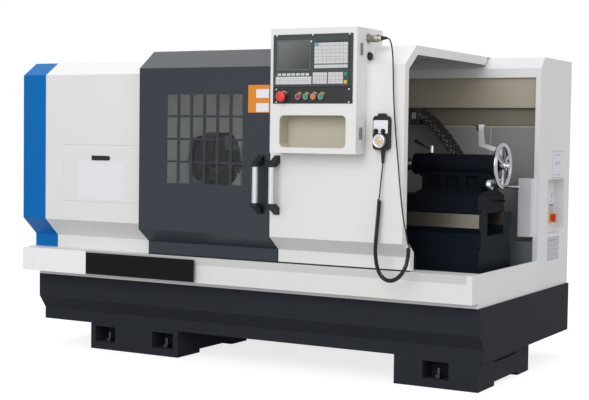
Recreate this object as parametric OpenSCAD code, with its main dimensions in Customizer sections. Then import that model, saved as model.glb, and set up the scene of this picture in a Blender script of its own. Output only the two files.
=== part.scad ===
// CNC turning lathe: a flat bed, a full enclosure and two sliding doors, in millimetres.
// X runs along the spindle to the right, Y runs to the back and Z runs up from the floor.

/* [Base and feet] */
// length of the base
base_length = 2830; // [2800:10:2900]
// depth of the base from front to back
base_depth = 1435; // [1425:5:1500]
// height of the feet
foot_height = 152; // [148:2:180]
// height of the base above the feet
base_height = 278; // [270:2:310]
// how far the lower front of the base steps in
base_step = 53; // [35:1:70]
// length of the left foot
left_foot_length = 624; // [580:4:660]
// length of the right foot
right_foot_length = 467; // [440:1:480]
// depth of both feet
foot_depth = 758; // [720:2:800]
// width of the windows in the feet
foot_window_width = 146; // [120:2:160]
// height of the windows in the feet
foot_window_height = 92; // [70:2:96]
// diameter of the levelling bolts
levelling_bolt = 24; // [16:1:30]

/* [Tray] */
// height of the tray's ledge above the base
ledge_height = 173; // [168:1:190]
// reach of the tray in front of the base
tray_reach = 85; // [78:1:92]
// reach of the tray's rim in front of the base
rim_reach = 110; // [106:1:116]
// thickness of the low wall at the right end
end_wall = 12; // [8:1:20]
// length of the white board on the front
sign_length = 472; // [420:4:500]
// length of the black plate on the front
name_plate_length = 745; // [680:5:780]

/* [Covers] */
// length of the end cover
end_cover_length = 169; // [150:1:190]
// length of the headstock cover
head_cover_length = 745; // [740:1:765]
// reach of the covers in front of the base
cover_reach = 148; // [142:1:156]
// width of the access panel
access_width = 532; // [480:4:560]
// height of the access panel
access_height = 324; // [280:4:360]
// thickness of the sheet metal
sheet = 3; // [2:0.5:4]
// depth of the back cabinet's switch pocket
pocket_depth = 62; // [50:1:80]

/* [Doors] */
// height of the doors from the ledge to the roof
door_height = 1137; // [1130:1:1160]
// length of the left door
left_door_length = 842; // [820:2:860]
// length of the right door
right_door_length = 764; // [750:2:800]
// depth of the rims at the ends of the doors
door_rim = 30; // [20:1:32]
// depth of the rim at the right door's free edge
free_rim = 46; // [34:1:48]
// width of one window pane
pane_width = 66; // [56:1:74]
// height of one window pane
pane_height = 113; // [100:1:116]
// diameter of the handle bars
handle_bar = 33; // [26:1:36]
// distance of the handle bars from the doors
handle_stand = 60; // [50:1:70]

/* [Control box] */
// width of the control box
box_width = 492; // [486:1:510]
// depth of the control box's own door
box_door_depth = 42; // [36:1:48]
// depth of the control box at its foot
box_depth = 71; // [66:1:90]
// depth of the storage pocket
storage_depth = 95; // [60:1:96]
// diameter of the emergency stop
estop_diameter = 52; // [40:1:56]
// diameter of the push buttons
button_diameter = 22; // [18:1:24]
// diameter of the pendant's wheel
pendant_wheel_diameter = 68; // [56:1:72]
// diameter of the pendant's cord
cord_diameter = 7; // [6:0.5:8]
// diameter of the cord's curly part
coil_diameter = 22; // [20:1:24]

/* [Bed and headstock] */
// height of the bed's ways above the base
bed_height = 457; // [450:1:480]
// width over the bed's ways
bed_width = 480; // [470:2:500]
// height of the spindle above the ways
centre_height = 250; // [240:1:260]
// diameter of the chuck
chuck_diameter = 315; // [290:1:330]
// length of the chuck's body
chuck_length = 120; // [110:1:130]
// width of the chuck's jaws
jaw_width = 40; // [32:1:46]

/* [Carriage] */
// length of the carriage along the bed
carriage_length = 460; // [420:4:480]
// width of the cable chain behind the carriage
chain_width = 88; // [60:2:96]
// length of the cross slide
cross_slide_length = 420; // [400:4:440]
// width of the square turret
turret_width = 150; // [130:2:160]
// diameter of the lead screw
screw_diameter = 36; // [30:1:40]

/* [Tailstock] */
// length of the tailstock's barrel
barrel_length = 462; // [450:2:470]
// diameter of the tailstock's barrel
barrel_diameter = 114; // [108:1:124]
// diameter of the quill
quill_diameter = 75; // [60:1:80]
// diameter of the handwheel
handwheel_diameter = 246; // [220:2:260]
// thickness of the handwheel's rim
wheel_rim = 26; // [20:1:28]

/* [Fits] */
// gap between sliding faces
slide_gap = 0.3; // [0.2:0.05:0.4]
// gap round turning and pressing pieces
turn_gap = 0.4; // [0.3:0.05:0.5]
// gap round the access panel
panel_gap = 0.8; // [0.5:0.1:0.9]

/* [Hidden] */
$fn = 64;

// main planes
left_end = -base_length / 2;
right_end = base_length / 2 - 13;
base_top = foot_height + base_height;
ledge_z = base_top + ledge_height;
roof_z = ledge_z + door_height;
cover_top = roof_z - 52;
cabinet_y = 887;
cabinet_top = roof_z - sheet - 3;
tray_inner = 40;
cover_start = left_end + 1;
cover_joint = cover_start + end_cover_length;
cover_end = cover_joint + head_cover_length;
way_z = base_top + bed_height;
bed_front = 206;
bed_back = bed_front + bed_width;
axis_y = bed_front + bed_width / 2;
axis_z = way_z + centre_height;
bed_end = right_end - 84;

// doors
door_gap = 43;
door_front = -cover_reach - door_gap;
door_low = -rim_reach + 16;
door_left = cover_end - 40;
seam_x = door_left + left_door_length + 2;
door_right = seam_x + 2 + right_door_length;
door_path = [[door_low, ledge_z + 4], [door_low, ledge_z + 73], [door_front, ledge_z + 146],
    [door_front, roof_z - 100], [door_front + 134, roof_z], [cabinet_y + 113, roof_z]];
door_rim_path = [door_path[0], door_path[1], door_path[2], door_path[3], door_path[4],
    [cabinet_y + 33, roof_z]];
free_rim_path = [door_path[0], door_path[1], door_path[2], door_path[3], door_path[4],
    [cabinet_y + 12, roof_z]];
window_left = door_left + 188;
window_bottom = ledge_z + 409;
pane_pitch = [84, 123.5];
handle_low = ledge_z + 323;
handle_high = handle_low + 189;
left_handle_x = seam_x - 54;
right_handle_x = seam_x + 45;

// covers
cover_low = door_low + 59;
cover_path = [[cover_low, ledge_z], [cover_low, ledge_z + 72], [-cover_reach, ledge_z + 172],
    [-cover_reach, cover_top - 75], [-cover_reach + 110, cover_top], [cabinet_y + 12, cover_top]];
cover_wall = concat(cover_path, [[cabinet_y, cover_top - 16], [cabinet_y, base_top],
    [tray_inner + slide_gap, base_top], [tray_inner + slide_gap, ledge_z]]);
bulkhead_x = cover_end - 48;
access_left = cover_joint + 129;
access_bottom = ledge_z + 284;
knuckle_radius = 2.6;

// control box
box_left = seam_x + 64;
box_right = box_left + box_width;
box_bottom = ledge_z + 588;
box_top = roof_z + 81;
box_face = door_front - box_depth;
panel_y = box_face - box_door_depth;
box_back = [[door_front, box_bottom], [door_front, roof_z - 100], [door_front + 134, roof_z],
    [door_front + 175, roof_z]];
hinge_x = box_right + 5.5;
plate_left = box_left + 17;
plate_top = box_top - 31;
plate_y = panel_y - 3;
unit_left = plate_left + 11;
unit_top = plate_top - 14;
unit_y = plate_y - 8;
button_z = plate_top - 313;
estop_x = plate_left + 62;
button_x = [for (i = [0:3]) plate_left + 152 + 43.5 * i];
socket_place = [box_right, door_front + 10, ledge_z + 1167];

// pendant and its cord
pendant_left = box_right + 55;
pendant_width = 86;
pendant_bottom = ledge_z + 612;
pendant_face = door_front - 35;
gland_x = pendant_left + 50;
cord_start = [box_right, door_front, ledge_z];
upper_route = [[103, 10, 1167], [122, 2, 1157], [138, -10, 1130], [150, -20, 1080], [156, -24, 1000],
    [162, -24, 860], [174, -24, 710], [190, -24, 560], [206, -24, 410], [224, -24, 280], [240, -25, 210],
    [250, -26, 160]];
coil_route = [[250, -26, 160], [257, -28, 125], [255, -30, 85], [244, -31, 40], [222, -32, 0],
    [192, -33, -26], [160, -33, -35], [128, -33, -26], [102, -32, 2], [86, -31, 45], [78, -30, 100],
    [79, -29, 160], [84, -28, 230], [90, -27, 310], [94, -26, 390]];
lower_route = [[94, -26, 390], [96, -22, 430], [99, -19, 480], [103, -18, 520], [105, -18, 545]];

// headstock, spindle and chuck
nose_x = bulkhead_x + 18;
chuck_back = nose_x + 40;
chuck_face = chuck_back + chuck_length;
spindle_radius = 60;
chuck_bore = 45;
jaw_depth = 44;

// carriage
carriage_x = 330;
screw_y = bed_front - 10;
screw_z = way_z - 147;
screw_end = 890;
saddle_top = way_z + 73;
slide_top = saddle_top + 85;
turret_y = axis_y - 270;
arm_end = carriage_x + 140;
chain_start = [arm_end + 190, roof_z - 334];
chain_y = cabinet_y + 51 - chain_width / 2;
chain_route = [[20, 0], [50, -5], [82, -26], [145, -88], [211, -165], [260, -240], [290, -310],
    [298, -370], [280, -425], [240, -458], [185, -469], [100, -469], [0, -469], [-100, -469],
    [-190 + slide_gap, -469]];
chain_line = curve(chain_route, 8);
chain_runs = [for (i = 0, run = 0; i < len(chain_line);
    run = run + norm(chain_line[min(i + 1, len(chain_line) - 1)] - chain_line[i]), i = i + 1) run];
link_count = 27;
link_pitch = chain_runs[len(chain_runs) - 1] / link_count;

// tailstock
barrel_x = bed_end - 4 - barrel_length;
barrel_end = bed_end - 4;
wheel_x = barrel_end + 35;
grip_z = axis_z - (handwheel_diameter - wheel_rim) / 2;
grip_pin = 4;
neck_top = axis_z - barrel_diameter / 2 + 6;
lever_y = axis_y + 54;
lever_z = axis_z - 77;
lock_x = barrel_x + 92;

// back cabinet
pocket_width = 305;
pocket_front = base_depth - 88 - pocket_width;
pocket_bottom = base_top + 308;
recess_right = right_end - 30;

// reach of the whole machine, for its middle
reach_left = left_end - 25;
reach_right = wheel_x + 96;
reach_front = plate_y - 42;
reach_back = base_depth + 2;
shift_x = -(reach_left + reach_right) / 2;
shift_y = -(reach_front + reach_back) / 2;

// moves the machine so that the middle of its footprint is at the origin
module shifted() {
    translate([shift_x, shift_y, 0]) children();
}

// a profile of Y and Z drawn from x0 to x1
module along_x(x0, x1) {
    translate([x0, 0, 0]) rotate([90, 0, 90]) linear_extrude(height = x1 - x0) children();
}

// a profile of X and Z drawn from y0 to y1
module along_y(y0, y1) {
    translate([0, y1, 0]) rotate([90, 0, 0]) linear_extrude(height = y1 - y0) children();
}

// a block from its low corner to its high corner
module block(low, high) {
    translate(low) cube(high - low);
}

// a round bar along X
module bar_x(x0, x1, y, z, radius) {
    translate([x0, y, z]) rotate([0, 90, 0]) cylinder(h = x1 - x0, r = radius);
}

// a round bar along Y
module bar_y(y0, y1, x, z, radius) {
    translate([x, y1, z]) rotate([90, 0, 0]) cylinder(h = y1 - y0, r = radius);
}

// a rectangle with round corners
module round_rectangle(low, high, radius) {
    translate([low[0] + radius, low[1]]) square([high[0] - low[0] - 2 * radius, high[1] - low[1]]);
    translate([low[0], low[1] + radius]) square([high[0] - low[0], high[1] - low[1] - 2 * radius]);
    for (x = [low[0] + radius, high[0] - radius])
        for (y = [low[1] + radius, high[1] - radius])
            translate([x, y]) circle(r = radius);
}

// the unit normal on the right of a line
function right_normal(a, b) = [b[1] - a[1], a[0] - b[0]] / norm(b - a);

// a path's points moved to its right by the thickness t, with mitred folds
function moved_right(path, t) = [for (i = [0:len(path) - 1])
    let (
        before = right_normal(path[max(i - 1, 0)], path[max(i, 1)]),
        after = right_normal(path[min(i, len(path) - 2)], path[min(i + 1, len(path) - 1)])
    )
    path[i] + t * (before + after) / (1 + before * after)];

// the outline of a folded sheet of thickness t on the right of a path
function folded_sheet(path, t) = let (inner = moved_right(path, t))
    concat(path, [for (i = [len(path) - 1:-1:0]) inner[i]]);

// a smooth curve through the points of a route, with steps points in each span
function curve_point(p, i, t) = let (
        a = p[max(i - 1, 0)],
        b = p[i],
        c = p[i + 1],
        d = p[min(i + 2, len(p) - 1)]
    )
    0.5 * (2 * b + (c - a) * t + (2 * a - 5 * b + 4 * c - d) * t * t
        + (3 * b - a - 3 * c + d) * t * t * t);
function curve(p, steps) = concat([for (i = [0:len(p) - 2]) for (k = [0:steps - 1])
    curve_point(p, i, k / steps)], [p[len(p) - 1]]);

// a round tube along a route
module tube(route, radius, sides) {
    last = len(route) - 1;
    rings = [for (i = [0:last])
        let (
            run = route[min(i + 1, last)] - route[max(i - 1, 0)],
            ahead = run / norm(run),
            flat = cross(ahead, [0, 1, 0]),
            side = flat / norm(flat),
            over = cross(side, ahead)
        )
        for (k = [0:sides - 1])
            route[i] + radius * (cos(360 * k / sides) * side + sin(360 * k / sides) * over)];
    walls = [for (i = [0:last - 1]) for (k = [0:sides - 1])
        let (n = (k + 1) % sides)
        [i * sides + k, i * sides + n, (i + 1) * sides + n, (i + 1) * sides + k]];
    start_cap = [[for (k = [sides - 1:-1:0]) k]];
    end_cap = [[for (k = [0:sides - 1]) last * sides + k]];
    polyhedron(points = rings, faces = concat(walls, start_cap, end_cap));
}

// Base and feet

// the base: a closed box with a stepped front and the chip pan's floor on top
module base_frame() {
    color("DimGray") shifted()
        along_x(left_end, -left_end)
            polygon([[base_step, foot_height], [base_step, foot_height + 68],
                [0, foot_height + 142], [0, base_top], [base_depth, base_top],
                [base_depth, foot_height]]);
}

// one foot with its windows for the levelling bolts, centred on x
module foot(x, length, windows) {
    front = base_step + 1;
    back = front + foot_depth;
    difference() {
        block([x - length / 2, front, 0], [x + length / 2, back, foot_height]);
        block([x - length, front + 229, -1], [x + length, front + 584, 21]);
        for (side = [-1, 1])
            translate([x + side * length / 2, front + 388, foot_height - 25])
                cube([60, 333, 9], center = true);
        for (w = windows)
            for (y = [front, back - 120])
                block([w - foot_window_width / 2, y - 1, 44],
                    [w + foot_window_width / 2, y + 121, 44 + foot_window_height]);
        for (w = windows)
            for (y = [front + 50, back - 50])
                translate([w, y, -1]) cylinder(h = 60, d = levelling_bolt + 2 * turn_gap);
    }
}

left_foot_inset = 664;
right_foot_inset = 259;
window_spread = 206;
left_foot_x = left_end + left_foot_inset;
right_foot_x = -left_end - right_foot_inset;
left_windows = [left_foot_x - window_spread, left_foot_x + window_spread];
right_windows = [right_foot_x];

// the foot under the headstock
module left_foot() {
    color("DimGray") shifted() foot(left_foot_x, left_foot_length, left_windows);
}

// the foot under the tailstock end
module right_foot() {
    color("DimGray") shifted() foot(right_foot_x, right_foot_length, right_windows);
}

// the bolts that stand on the floor, each with its lock nut on the foot
module levelling_bolts() {
    color("Silver") shifted()
        for (w = concat(left_windows, right_windows))
            for (y = [base_step + 51, base_step + foot_depth - 49])
                translate([w, y, 0]) {
                    cylinder(h = 98, d = levelling_bolt);
                    translate([0, 0, 44]) cylinder(h = 19, d = 1.9 * levelling_bolt, $fn = 6);
                }
}

// Tray and covers

// the tray's front box, its corner post and the low wall at the right end
module chip_tray() {
    color("White") shifted() {
        along_x(left_end, right_end - 30)
            polygon([[-tray_reach, ledge_z - 146], [-tray_reach, ledge_z - 45],
                [-rim_reach, ledge_z], [tray_inner, ledge_z], [tray_inner, base_top],
                [0, base_top], [0, ledge_z - 146]]);
        block([right_end - 30, -tray_reach, ledge_z - 146], [right_end, tray_inner, ledge_z]);
        block([right_end - 30, 0, base_top], [right_end, tray_inner, ledge_z]);
        block([right_end - end_wall, tray_inner, base_top], [right_end, cabinet_y, ledge_z]);
    }
}

// one bare board that stands off the tray's front
module board(x0, x1, z0, z1, thick) {
    block([x0, -rim_reach - thick, z0], [x1, -rim_reach, z1]);
    for (x = [x0 + 60, x1 - 60]) bar_y(-rim_reach, -tray_reach, x, ledge_z - 95, 8);
}

// the white board and the black plate on the tray's front
module front_boards() {
    color("White") shifted() {
        board(left_end - 25, left_end - 25 + sign_length, ledge_z - 141, ledge_z - 6, 12);
        board(left_end - 24.5 + sign_length, left_end - 24.5 + sign_length + name_plate_length,
            ledge_z - 137, ledge_z - 14, 9);
    }
}

// the cover over the headstock, with its bulkhead towards the chuck
module headstock_cover() {
    color("White") shifted() difference() {
        union() {
            along_x(cover_joint + 0.5, cover_end) polygon(folded_sheet(cover_path, sheet));
            along_x(bulkhead_x - sheet, bulkhead_x) polygon(cover_wall);
        }
        block([access_left - panel_gap, -cover_reach - 1, access_bottom - panel_gap],
            [access_left + access_width + panel_gap, 0, access_bottom + access_height + panel_gap]);
        access_knuckles(knuckle_radius + turn_gap, 40 + 2 * turn_gap);
        block([bulkhead_x - 10, screw_y - 30, base_top - 1], [bulkhead_x + 10, bed_back + 5, way_z + 20]);
        bar_x(bulkhead_x - 10, bulkhead_x + 10, axis_y, axis_z, 135);
    }
}

// the cover over the belt end, closed at the left
module end_cover() {
    color("RoyalBlue") shifted() {
        along_x(cover_start, cover_joint) polygon(folded_sheet(cover_path, sheet));
        along_x(cover_start, cover_start + sheet) polygon(cover_wall);
    }
}

// the access panel's two hinge knuckles at its left edge
module access_knuckles(radius, height) {
    for (z = [access_bottom + 60, access_bottom + access_height - 60])
        translate([access_left - panel_gap / 2, -cover_reach, z])
            cylinder(h = height, r = radius, center = true, $fn = 32);
}

// the hinged panel in front of the headstock
module access_panel() {
    color("White") shifted() {
        block([access_left, -cover_reach, access_bottom],
            [access_left + access_width, -cover_reach + sheet, access_bottom + access_height]);
        access_knuckles(knuckle_radius, 40);
    }
}

latch_x = access_left + 329;
latch_z = access_bottom + 251;
latch_y = -cover_reach - slide_gap;

// the access panel's flat handle, which turns on its lock
module access_latch() {
    color("Black") shifted() {
        bar_y(latch_y - 5, latch_y, latch_x, latch_z, 13);
        block([latch_x - 116, latch_y - 4, latch_z - 13], [latch_x, latch_y, latch_z + 13]);
        bar_y(latch_y - 7, latch_y - 4, latch_x, latch_z, 8);
    }
}

// the cabinet behind the work area, with the splash wall in front and the switch pocket at the right
module rear_cabinet() {
    color("White") shifted() difference() {
        union() {
            along_x(left_end, right_end)
                polygon([[cabinet_y, base_top], [cabinet_y, cover_top - 16],
                    [cabinet_y + 59, cabinet_top], [base_depth, cabinet_top], [base_depth, base_top]]);
            for (i = [0:2])
                block([left_end + 40 + i * (base_length - 70) / 3, base_depth - 1, base_top + 60],
                    [left_end - 20 + (i + 1) * (base_length - 70) / 3, base_depth + 2, cabinet_top - 60]);
        }
        block([cover_end + 20, cabinet_y - 1, base_top + 278],
            [recess_right, cabinet_y + 18, roof_z - 120]);
        block([cover_end + 20, cabinet_y - 1, base_top + 278],
            [recess_right, cabinet_y + 53, roof_z - 288]);
        block([cover_end + 20, cabinet_y, roof_z - 390],
            [recess_right, cabinet_y + 57, roof_z - 386]);
        for (i = [0:2])
            block([right_end - 319 - i * 560, cabinet_y, base_top + 278],
                [right_end - 315 - i * 560, cabinet_y + 57, roof_z - 386]);
        along_x(right_end - pocket_depth, right_end + 1)
            round_rectangle([pocket_front, pocket_bottom],
                [pocket_front + pocket_width, pocket_bottom + 313], 20);
    }
}

// the grey terminal box in the right corner of the work area
module terminal_box() {
    color("LightGray") shifted()
        block([right_end - 106, cabinet_y - 37, base_top + 305],
            [recess_right, cabinet_y + 53, base_top + 630]);
}

switch_y = pocket_front + pocket_width - 57;
switch_z = pocket_bottom + 84;
switch_x = right_end - pocket_depth;

// the main switch's square plate
module switch_plate() {
    color("Gold") shifted() difference() {
        block([switch_x, switch_y - 32, switch_z - 32], [switch_x + 6, switch_y + 32, switch_z + 32]);
        bar_x(switch_x + 2, switch_x + 7, switch_y, switch_z, 20 + turn_gap);
    }
}

// the main switch's turning knob
module switch_knob() {
    color("Red") shifted() {
        bar_x(switch_x + 2 + slide_gap, switch_x + 16, switch_y, switch_z, 20);
        block([switch_x + 15, switch_y - 7, switch_z - 24], [switch_x + 32, switch_y + 7, switch_z + 24]);
    }
}

// Bed, headstock and chuck

// a ridge along the front way that guides the carriage and the tailstock
function way_ridge(grow) = [[bed_front + 44 - grow, way_z - 1], [bed_front + 44 - grow, way_z],
    [bed_front + 64, way_z + 20 + grow], [bed_front + 84 + grow, way_z], [bed_front + 84 + grow, way_z - 1]];

// the cast bed: two ways with a trough between them, two legs and the lead screw's bearing
module bed() {
    color("DarkSlateGray") shifted() {
        along_x(left_end + 185, bed_end)
            polygon([[bed_front, way_z], [bed_front, way_z - 71], [bed_front + 30, way_z - 101],
                [bed_front + 30, way_z - 187], [bed_back - 30, way_z - 187],
                [bed_back - 30, way_z - 101], [bed_back, way_z - 71], [bed_back, way_z],
                [bed_back - 120, way_z], [bed_back - 120, way_z - 117],
                [bed_front + 120, way_z - 117], [bed_front + 120, way_z]]);
        along_x(bulkhead_x + 60, bed_end) polygon(way_ridge(0));
        along_y(bed_front + 8, bed_back - 8)
            polygon([[bed_end - 348, base_top], [bed_end, base_top], [bed_end, way_z - 182],
                [bed_end - 403, way_z - 182], [bed_end - 348, way_z - 240]]);
        along_y(bed_front + 8, bed_back - 8)
            polygon([[left_end + 185, base_top], [bulkhead_x + 60, base_top],
                [bulkhead_x + 60, way_z - 240], [bulkhead_x + 115, way_z - 182],
                [left_end + 185, way_z - 182]]);
        difference() {
            block([screw_end - 30, screw_y - 32, screw_z - 34],
                [screw_end + 10, bed_front + 31, screw_z + 32]);
            bar_x(screw_end - 31, screw_end + 1, screw_y, screw_z, screw_diameter / 2 + turn_gap);
        }
    }
}

// the headstock casting with its bore for the spindle
module headstock() {
    color("DarkSlateGray") shifted() difference() {
        union() {
            block([left_end + 225, axis_y - 205, way_z], [bulkhead_x - 30, axis_y + 205, axis_z + 190]);
            bar_x(bulkhead_x - 31, nose_x - slide_gap, axis_y, axis_z, 120);
        }
        bar_x(left_end + 224, nose_x, axis_y, axis_z, spindle_radius + turn_gap);
        block([left_end + 265, axis_y - 206, way_z + 40], [bulkhead_x - 70, axis_y - 190, axis_z + 150]);
    }
}

// the hollow spindle with its nose flange
module spindle() {
    color("Silver") shifted() difference() {
        union() {
            bar_x(left_end + 185, nose_x + 10, axis_y, axis_z, spindle_radius);
            bar_x(nose_x, chuck_back, axis_y, axis_z, 100);
        }
        bar_x(left_end + 184, chuck_back + 1, axis_y, axis_z, 26);
    }
}

// the places of the three jaws round the spindle
module round_chuck(angle) {
    translate([0, axis_y, axis_z]) rotate([angle, 0, 0]) children();
}

// the chuck's body with three radial grooves
module chuck() {
    color("Gray") shifted() difference() {
        bar_x(chuck_back, chuck_face, axis_y, axis_z, chuck_diameter / 2);
        bar_x(chuck_back - 1, chuck_face + 1, axis_y, axis_z, chuck_bore);
        for (angle = [0, 120, 240]) round_chuck(angle) {
            block([chuck_face - jaw_depth, -jaw_width / 2 - slide_gap, 0],
                [chuck_face + 1, jaw_width / 2 + slide_gap, chuck_diameter]);
            block([chuck_face - jaw_depth, -jaw_width / 2 - 6, 0],
                [chuck_face - jaw_depth + 16, jaw_width / 2 + 6, chuck_diameter]);
        }
    }
}

// one stepped jaw in its groove
module jaw(angle) {
    inner = chuck_bore + 10;
    outer = chuck_diameter / 2 - 20;
    color("Silver") shifted() round_chuck(angle) {
        block([chuck_face - jaw_depth + slide_gap, -jaw_width / 2 - 6 + slide_gap, inner],
            [chuck_face - jaw_depth + 16 - slide_gap, jaw_width / 2 + 6 - slide_gap, outer]);
        block([chuck_face - jaw_depth + slide_gap, -jaw_width / 2, inner],
            [chuck_face + 22, jaw_width / 2, outer]);
        block([chuck_face + 20, -jaw_width / 2, inner], [chuck_face + 48, jaw_width / 2, outer - 28]);
        block([chuck_face + 46, -jaw_width / 2, inner], [chuck_face + 72, jaw_width / 2, inner + 26]);
    }
}

// the upper jaw
module jaw_1() {
    jaw(0);
}

// the jaw at the front
module jaw_2() {
    jaw(120);
}

// the jaw at the back
module jaw_3() {
    jaw(240);
}

// Carriage

// the carriage on the ways, with its apron, screw nut and cable arm
module carriage() {
    x0 = carriage_x - carriage_length / 2;
    x1 = carriage_x + carriage_length / 2;
    color("DarkSlateGray") shifted() {
        difference() {
            union() {
                block([x0, screw_y - 36, way_z + slide_gap], [x1, bed_back + 20, saddle_top]);
                block([x0, screw_y - 36, screw_z + 42], [x1, bed_front - 2, saddle_top]);
                block([carriage_x - 90, screw_y - 36, screw_z - 34],
                    [carriage_x + 90, bed_front - 2, screw_z + 44]);
                block([carriage_x - 90, screw_y - 36, screw_z - 34],
                    [carriage_x + 90, bed_front + 24, screw_z + 34]);
                block([carriage_x - 100, screw_y - 70, saddle_top - 30],
                    [carriage_x + 100, bed_back + 80, saddle_top + 25]);
                block([arm_end - 40, bed_back + 10, saddle_top - 46],
                    [arm_end, cabinet_y + 43, saddle_top]);
            }
            along_x(x0 - 1, x1 + 1) polygon(way_ridge(0.6));
            bar_x(x0, x1, screw_y, screw_z, screw_diameter / 2 + turn_gap);
        }
    }
}

// the cross slide that carries the turret towards the spindle
module cross_slide() {
    y0 = turret_y - 110;
    low = saddle_top + 25 + slide_gap;
    color("SlateGray") shifted() {
        block([carriage_x - 130, y0, low], [carriage_x + 130, y0 + cross_slide_length, slide_top]);
        for (side = [-1, 1])
            block([carriage_x + side * (115 + turn_gap / 2) - 15 + turn_gap / 2, y0, saddle_top + 1],
                [carriage_x + side * (115 + turn_gap / 2) + 15 - turn_gap / 2,
                    y0 + cross_slide_length, low + 1]);
    }
}

// the turret's fixed foot
module turret_base() {
    color("SlateGray") shifted()
        block([carriage_x - 80, turret_y - 80, slide_top], [carriage_x + 80, turret_y + 80, slide_top + 40]);
}

// the square turret with four tool slots and their clamp screws
module turret() {
    low = slide_top + 40 + slide_gap;
    half = turret_width / 2;
    color("Gray") shifted() translate([carriage_x, turret_y, low]) {
        difference() {
            union() {
                cylinder(h = 16, r = half - 4);
                translate([-half, -half, 15]) cube([turret_width, turret_width, 88]);
                translate([0, 0, 102]) cylinder(h = 22, r = 34);
            }
            for (angle = [0:90:270])
                rotate([0, 0, angle]) translate([-half - 1, -half - 1, 38]) cube([turret_width + 2, 27, 28]);
        }
        for (angle = [0:90:270]) rotate([0, 0, angle])
            for (x = [-half + 45, half - 45])
                translate([x, -half + 13, 64]) cylinder(h = 52, d = 14);
    }
}

// the lead screw in front of the bed
module lead_screw() {
    color("Silver") shifted()
        bar_x(bulkhead_x + 4, screw_end, screw_y, screw_z, screw_diameter / 2);
}

// Tailstock

// the tailstock's foot on the ways
module tailstock_base() {
    x0 = barrel_x + 33;
    x1 = barrel_end - 9;
    color("DarkSlateGray") shifted() {
        difference() {
            block([x0, bed_front + 16, way_z + slide_gap], [x1, axis_y + 154, way_z + 93]);
            along_x(x0 - 1, x1 + 1) polygon(way_ridge(0.6));
        }
        along_x(x0 + 40, x1 - 6)
            polygon([[bed_front + 20, way_z + 92], [axis_y - 84, way_z + 118],
                [axis_y + 84, way_z + 118], [axis_y + 150, way_z + 92]]);
        bar_x(x1 - 1, x1 + 40, axis_y + 60, way_z + 62, 6);
    }
}

// the tailstock's neck and barrel, with the bore for the quill
module tailstock_body() {
    neck_left = barrel_x + 70;
    neck_right = barrel_end - 14;
    color("DarkSlateGray") shifted() difference() {
        union() {
            bar_x(barrel_x, barrel_end, axis_y, axis_z, barrel_diameter / 2);
            block([neck_left, axis_y - 72, way_z + 118], [neck_right, axis_y + 72, neck_top + 12]);
            along_y(axis_y - 52, axis_y + 52)
                polygon([[neck_left - 52, neck_top + 14], [neck_left + 2, neck_top + 14],
                    [neck_left + 2, neck_top - 44], [neck_left - 8, neck_top - 20]]);
            translate([lock_x, axis_y, axis_z]) cylinder(h = barrel_diameter / 2 + 4, r = 17);
            bar_x(neck_right - 30, neck_right + 24, axis_y - 78, neck_top - 48, 26);
        }
        for (x = [neck_left + 28, neck_left + 140, neck_left + 252])
            block([x, axis_y - 73, way_z + 130], [x + 72, axis_y - 52, neck_top - 6]);
        bar_x(barrel_x - 1, barrel_end - 44, axis_y, axis_z, quill_diameter / 2 + turn_gap);
        bar_x(barrel_end - 45, barrel_end + 1, axis_y, axis_z, 12 + turn_gap);
    }
}

// the quill with its centre
module quill() {
    color("Silver") shifted() {
        bar_x(barrel_x - 54, barrel_end - 120, axis_y, axis_z, quill_diameter / 2);
        translate([barrel_x - 104, axis_y, axis_z]) rotate([0, 90, 0])
            cylinder(h = 51, r1 = 0.5, r2 = 24);
    }
}

// the spoked handwheel on its shaft
module handwheel() {
    ring = (handwheel_diameter - wheel_rim) / 2;
    color("Silver") shifted() {
        translate([wheel_x, axis_y, axis_z]) rotate([0, 90, 0])
            rotate_extrude($fn = 96) translate([ring, 0]) circle(d = wheel_rim, $fn = 24);
        bar_x(barrel_end - 30, wheel_x, axis_y, axis_z, 12);
        bar_x(wheel_x - 14, wheel_x + 24, axis_y, axis_z, 23);
        bar_x(wheel_x + 23, wheel_x + 42, axis_y, axis_z, 16);
        bar_x(wheel_x, wheel_x + 92, axis_y, grip_z, grip_pin);
        for (angle = [60, 180, 300])
            translate([wheel_x, axis_y, axis_z]) rotate([-angle, 0, 0])
                translate([0, 0, 12]) cylinder(h = ring - 12, r = 8);
    }
}

// the sleeve that turns on the handwheel's pin
module wheel_grip() {
    start = wheel_x + wheel_rim / 2 + turn_gap;
    color("Silver") shifted() difference() {
        translate([start, axis_y, grip_z]) rotate([0, 90, 0])
            cylinder(h = wheel_x + 96 - start, r1 = 7.5, r2 = 10);
        bar_x(start - 1, wheel_x + 92 + turn_gap, axis_y, grip_z, grip_pin + turn_gap);
    }
}

// the bent lever that clamps the tailstock
module clamp_lever() {
    x = barrel_end + 17;
    color("Silver") shifted() {
        bar_x(barrel_end - 14 + turn_gap, x, lever_y, lever_z, 22);
        along_y(lever_y - 13, lever_y + 13)
            polygon([[x, lever_z], [x, lever_z + 160], [x - 109, lever_z + 194], [x - 116, lever_z + 272],
                [x - 139, lever_z + 272], [x - 131, lever_z + 177], [x - 14, lever_z + 142],
                [x - 14, lever_z]]);
        translate([x - 133, lever_y, lever_z + 256]) cylinder(h = 36, r1 = 13, r2 = 26);
    }
}

// the lever that locks the quill
module lock_lever() {
    z = axis_z + barrel_diameter / 2 + 4 + slide_gap;
    color("Black") shifted() translate([lock_x, axis_y, z]) {
        cylinder(h = 37, r = 10.5);
        translate([0, 0, 13]) rotate([0, -62, 0]) {
            cylinder(h = 66, r = 4.5);
            translate([0, 0, 56]) cylinder(h = 54, r1 = 6, r2 = 11.5);
        }
    }
}

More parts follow.
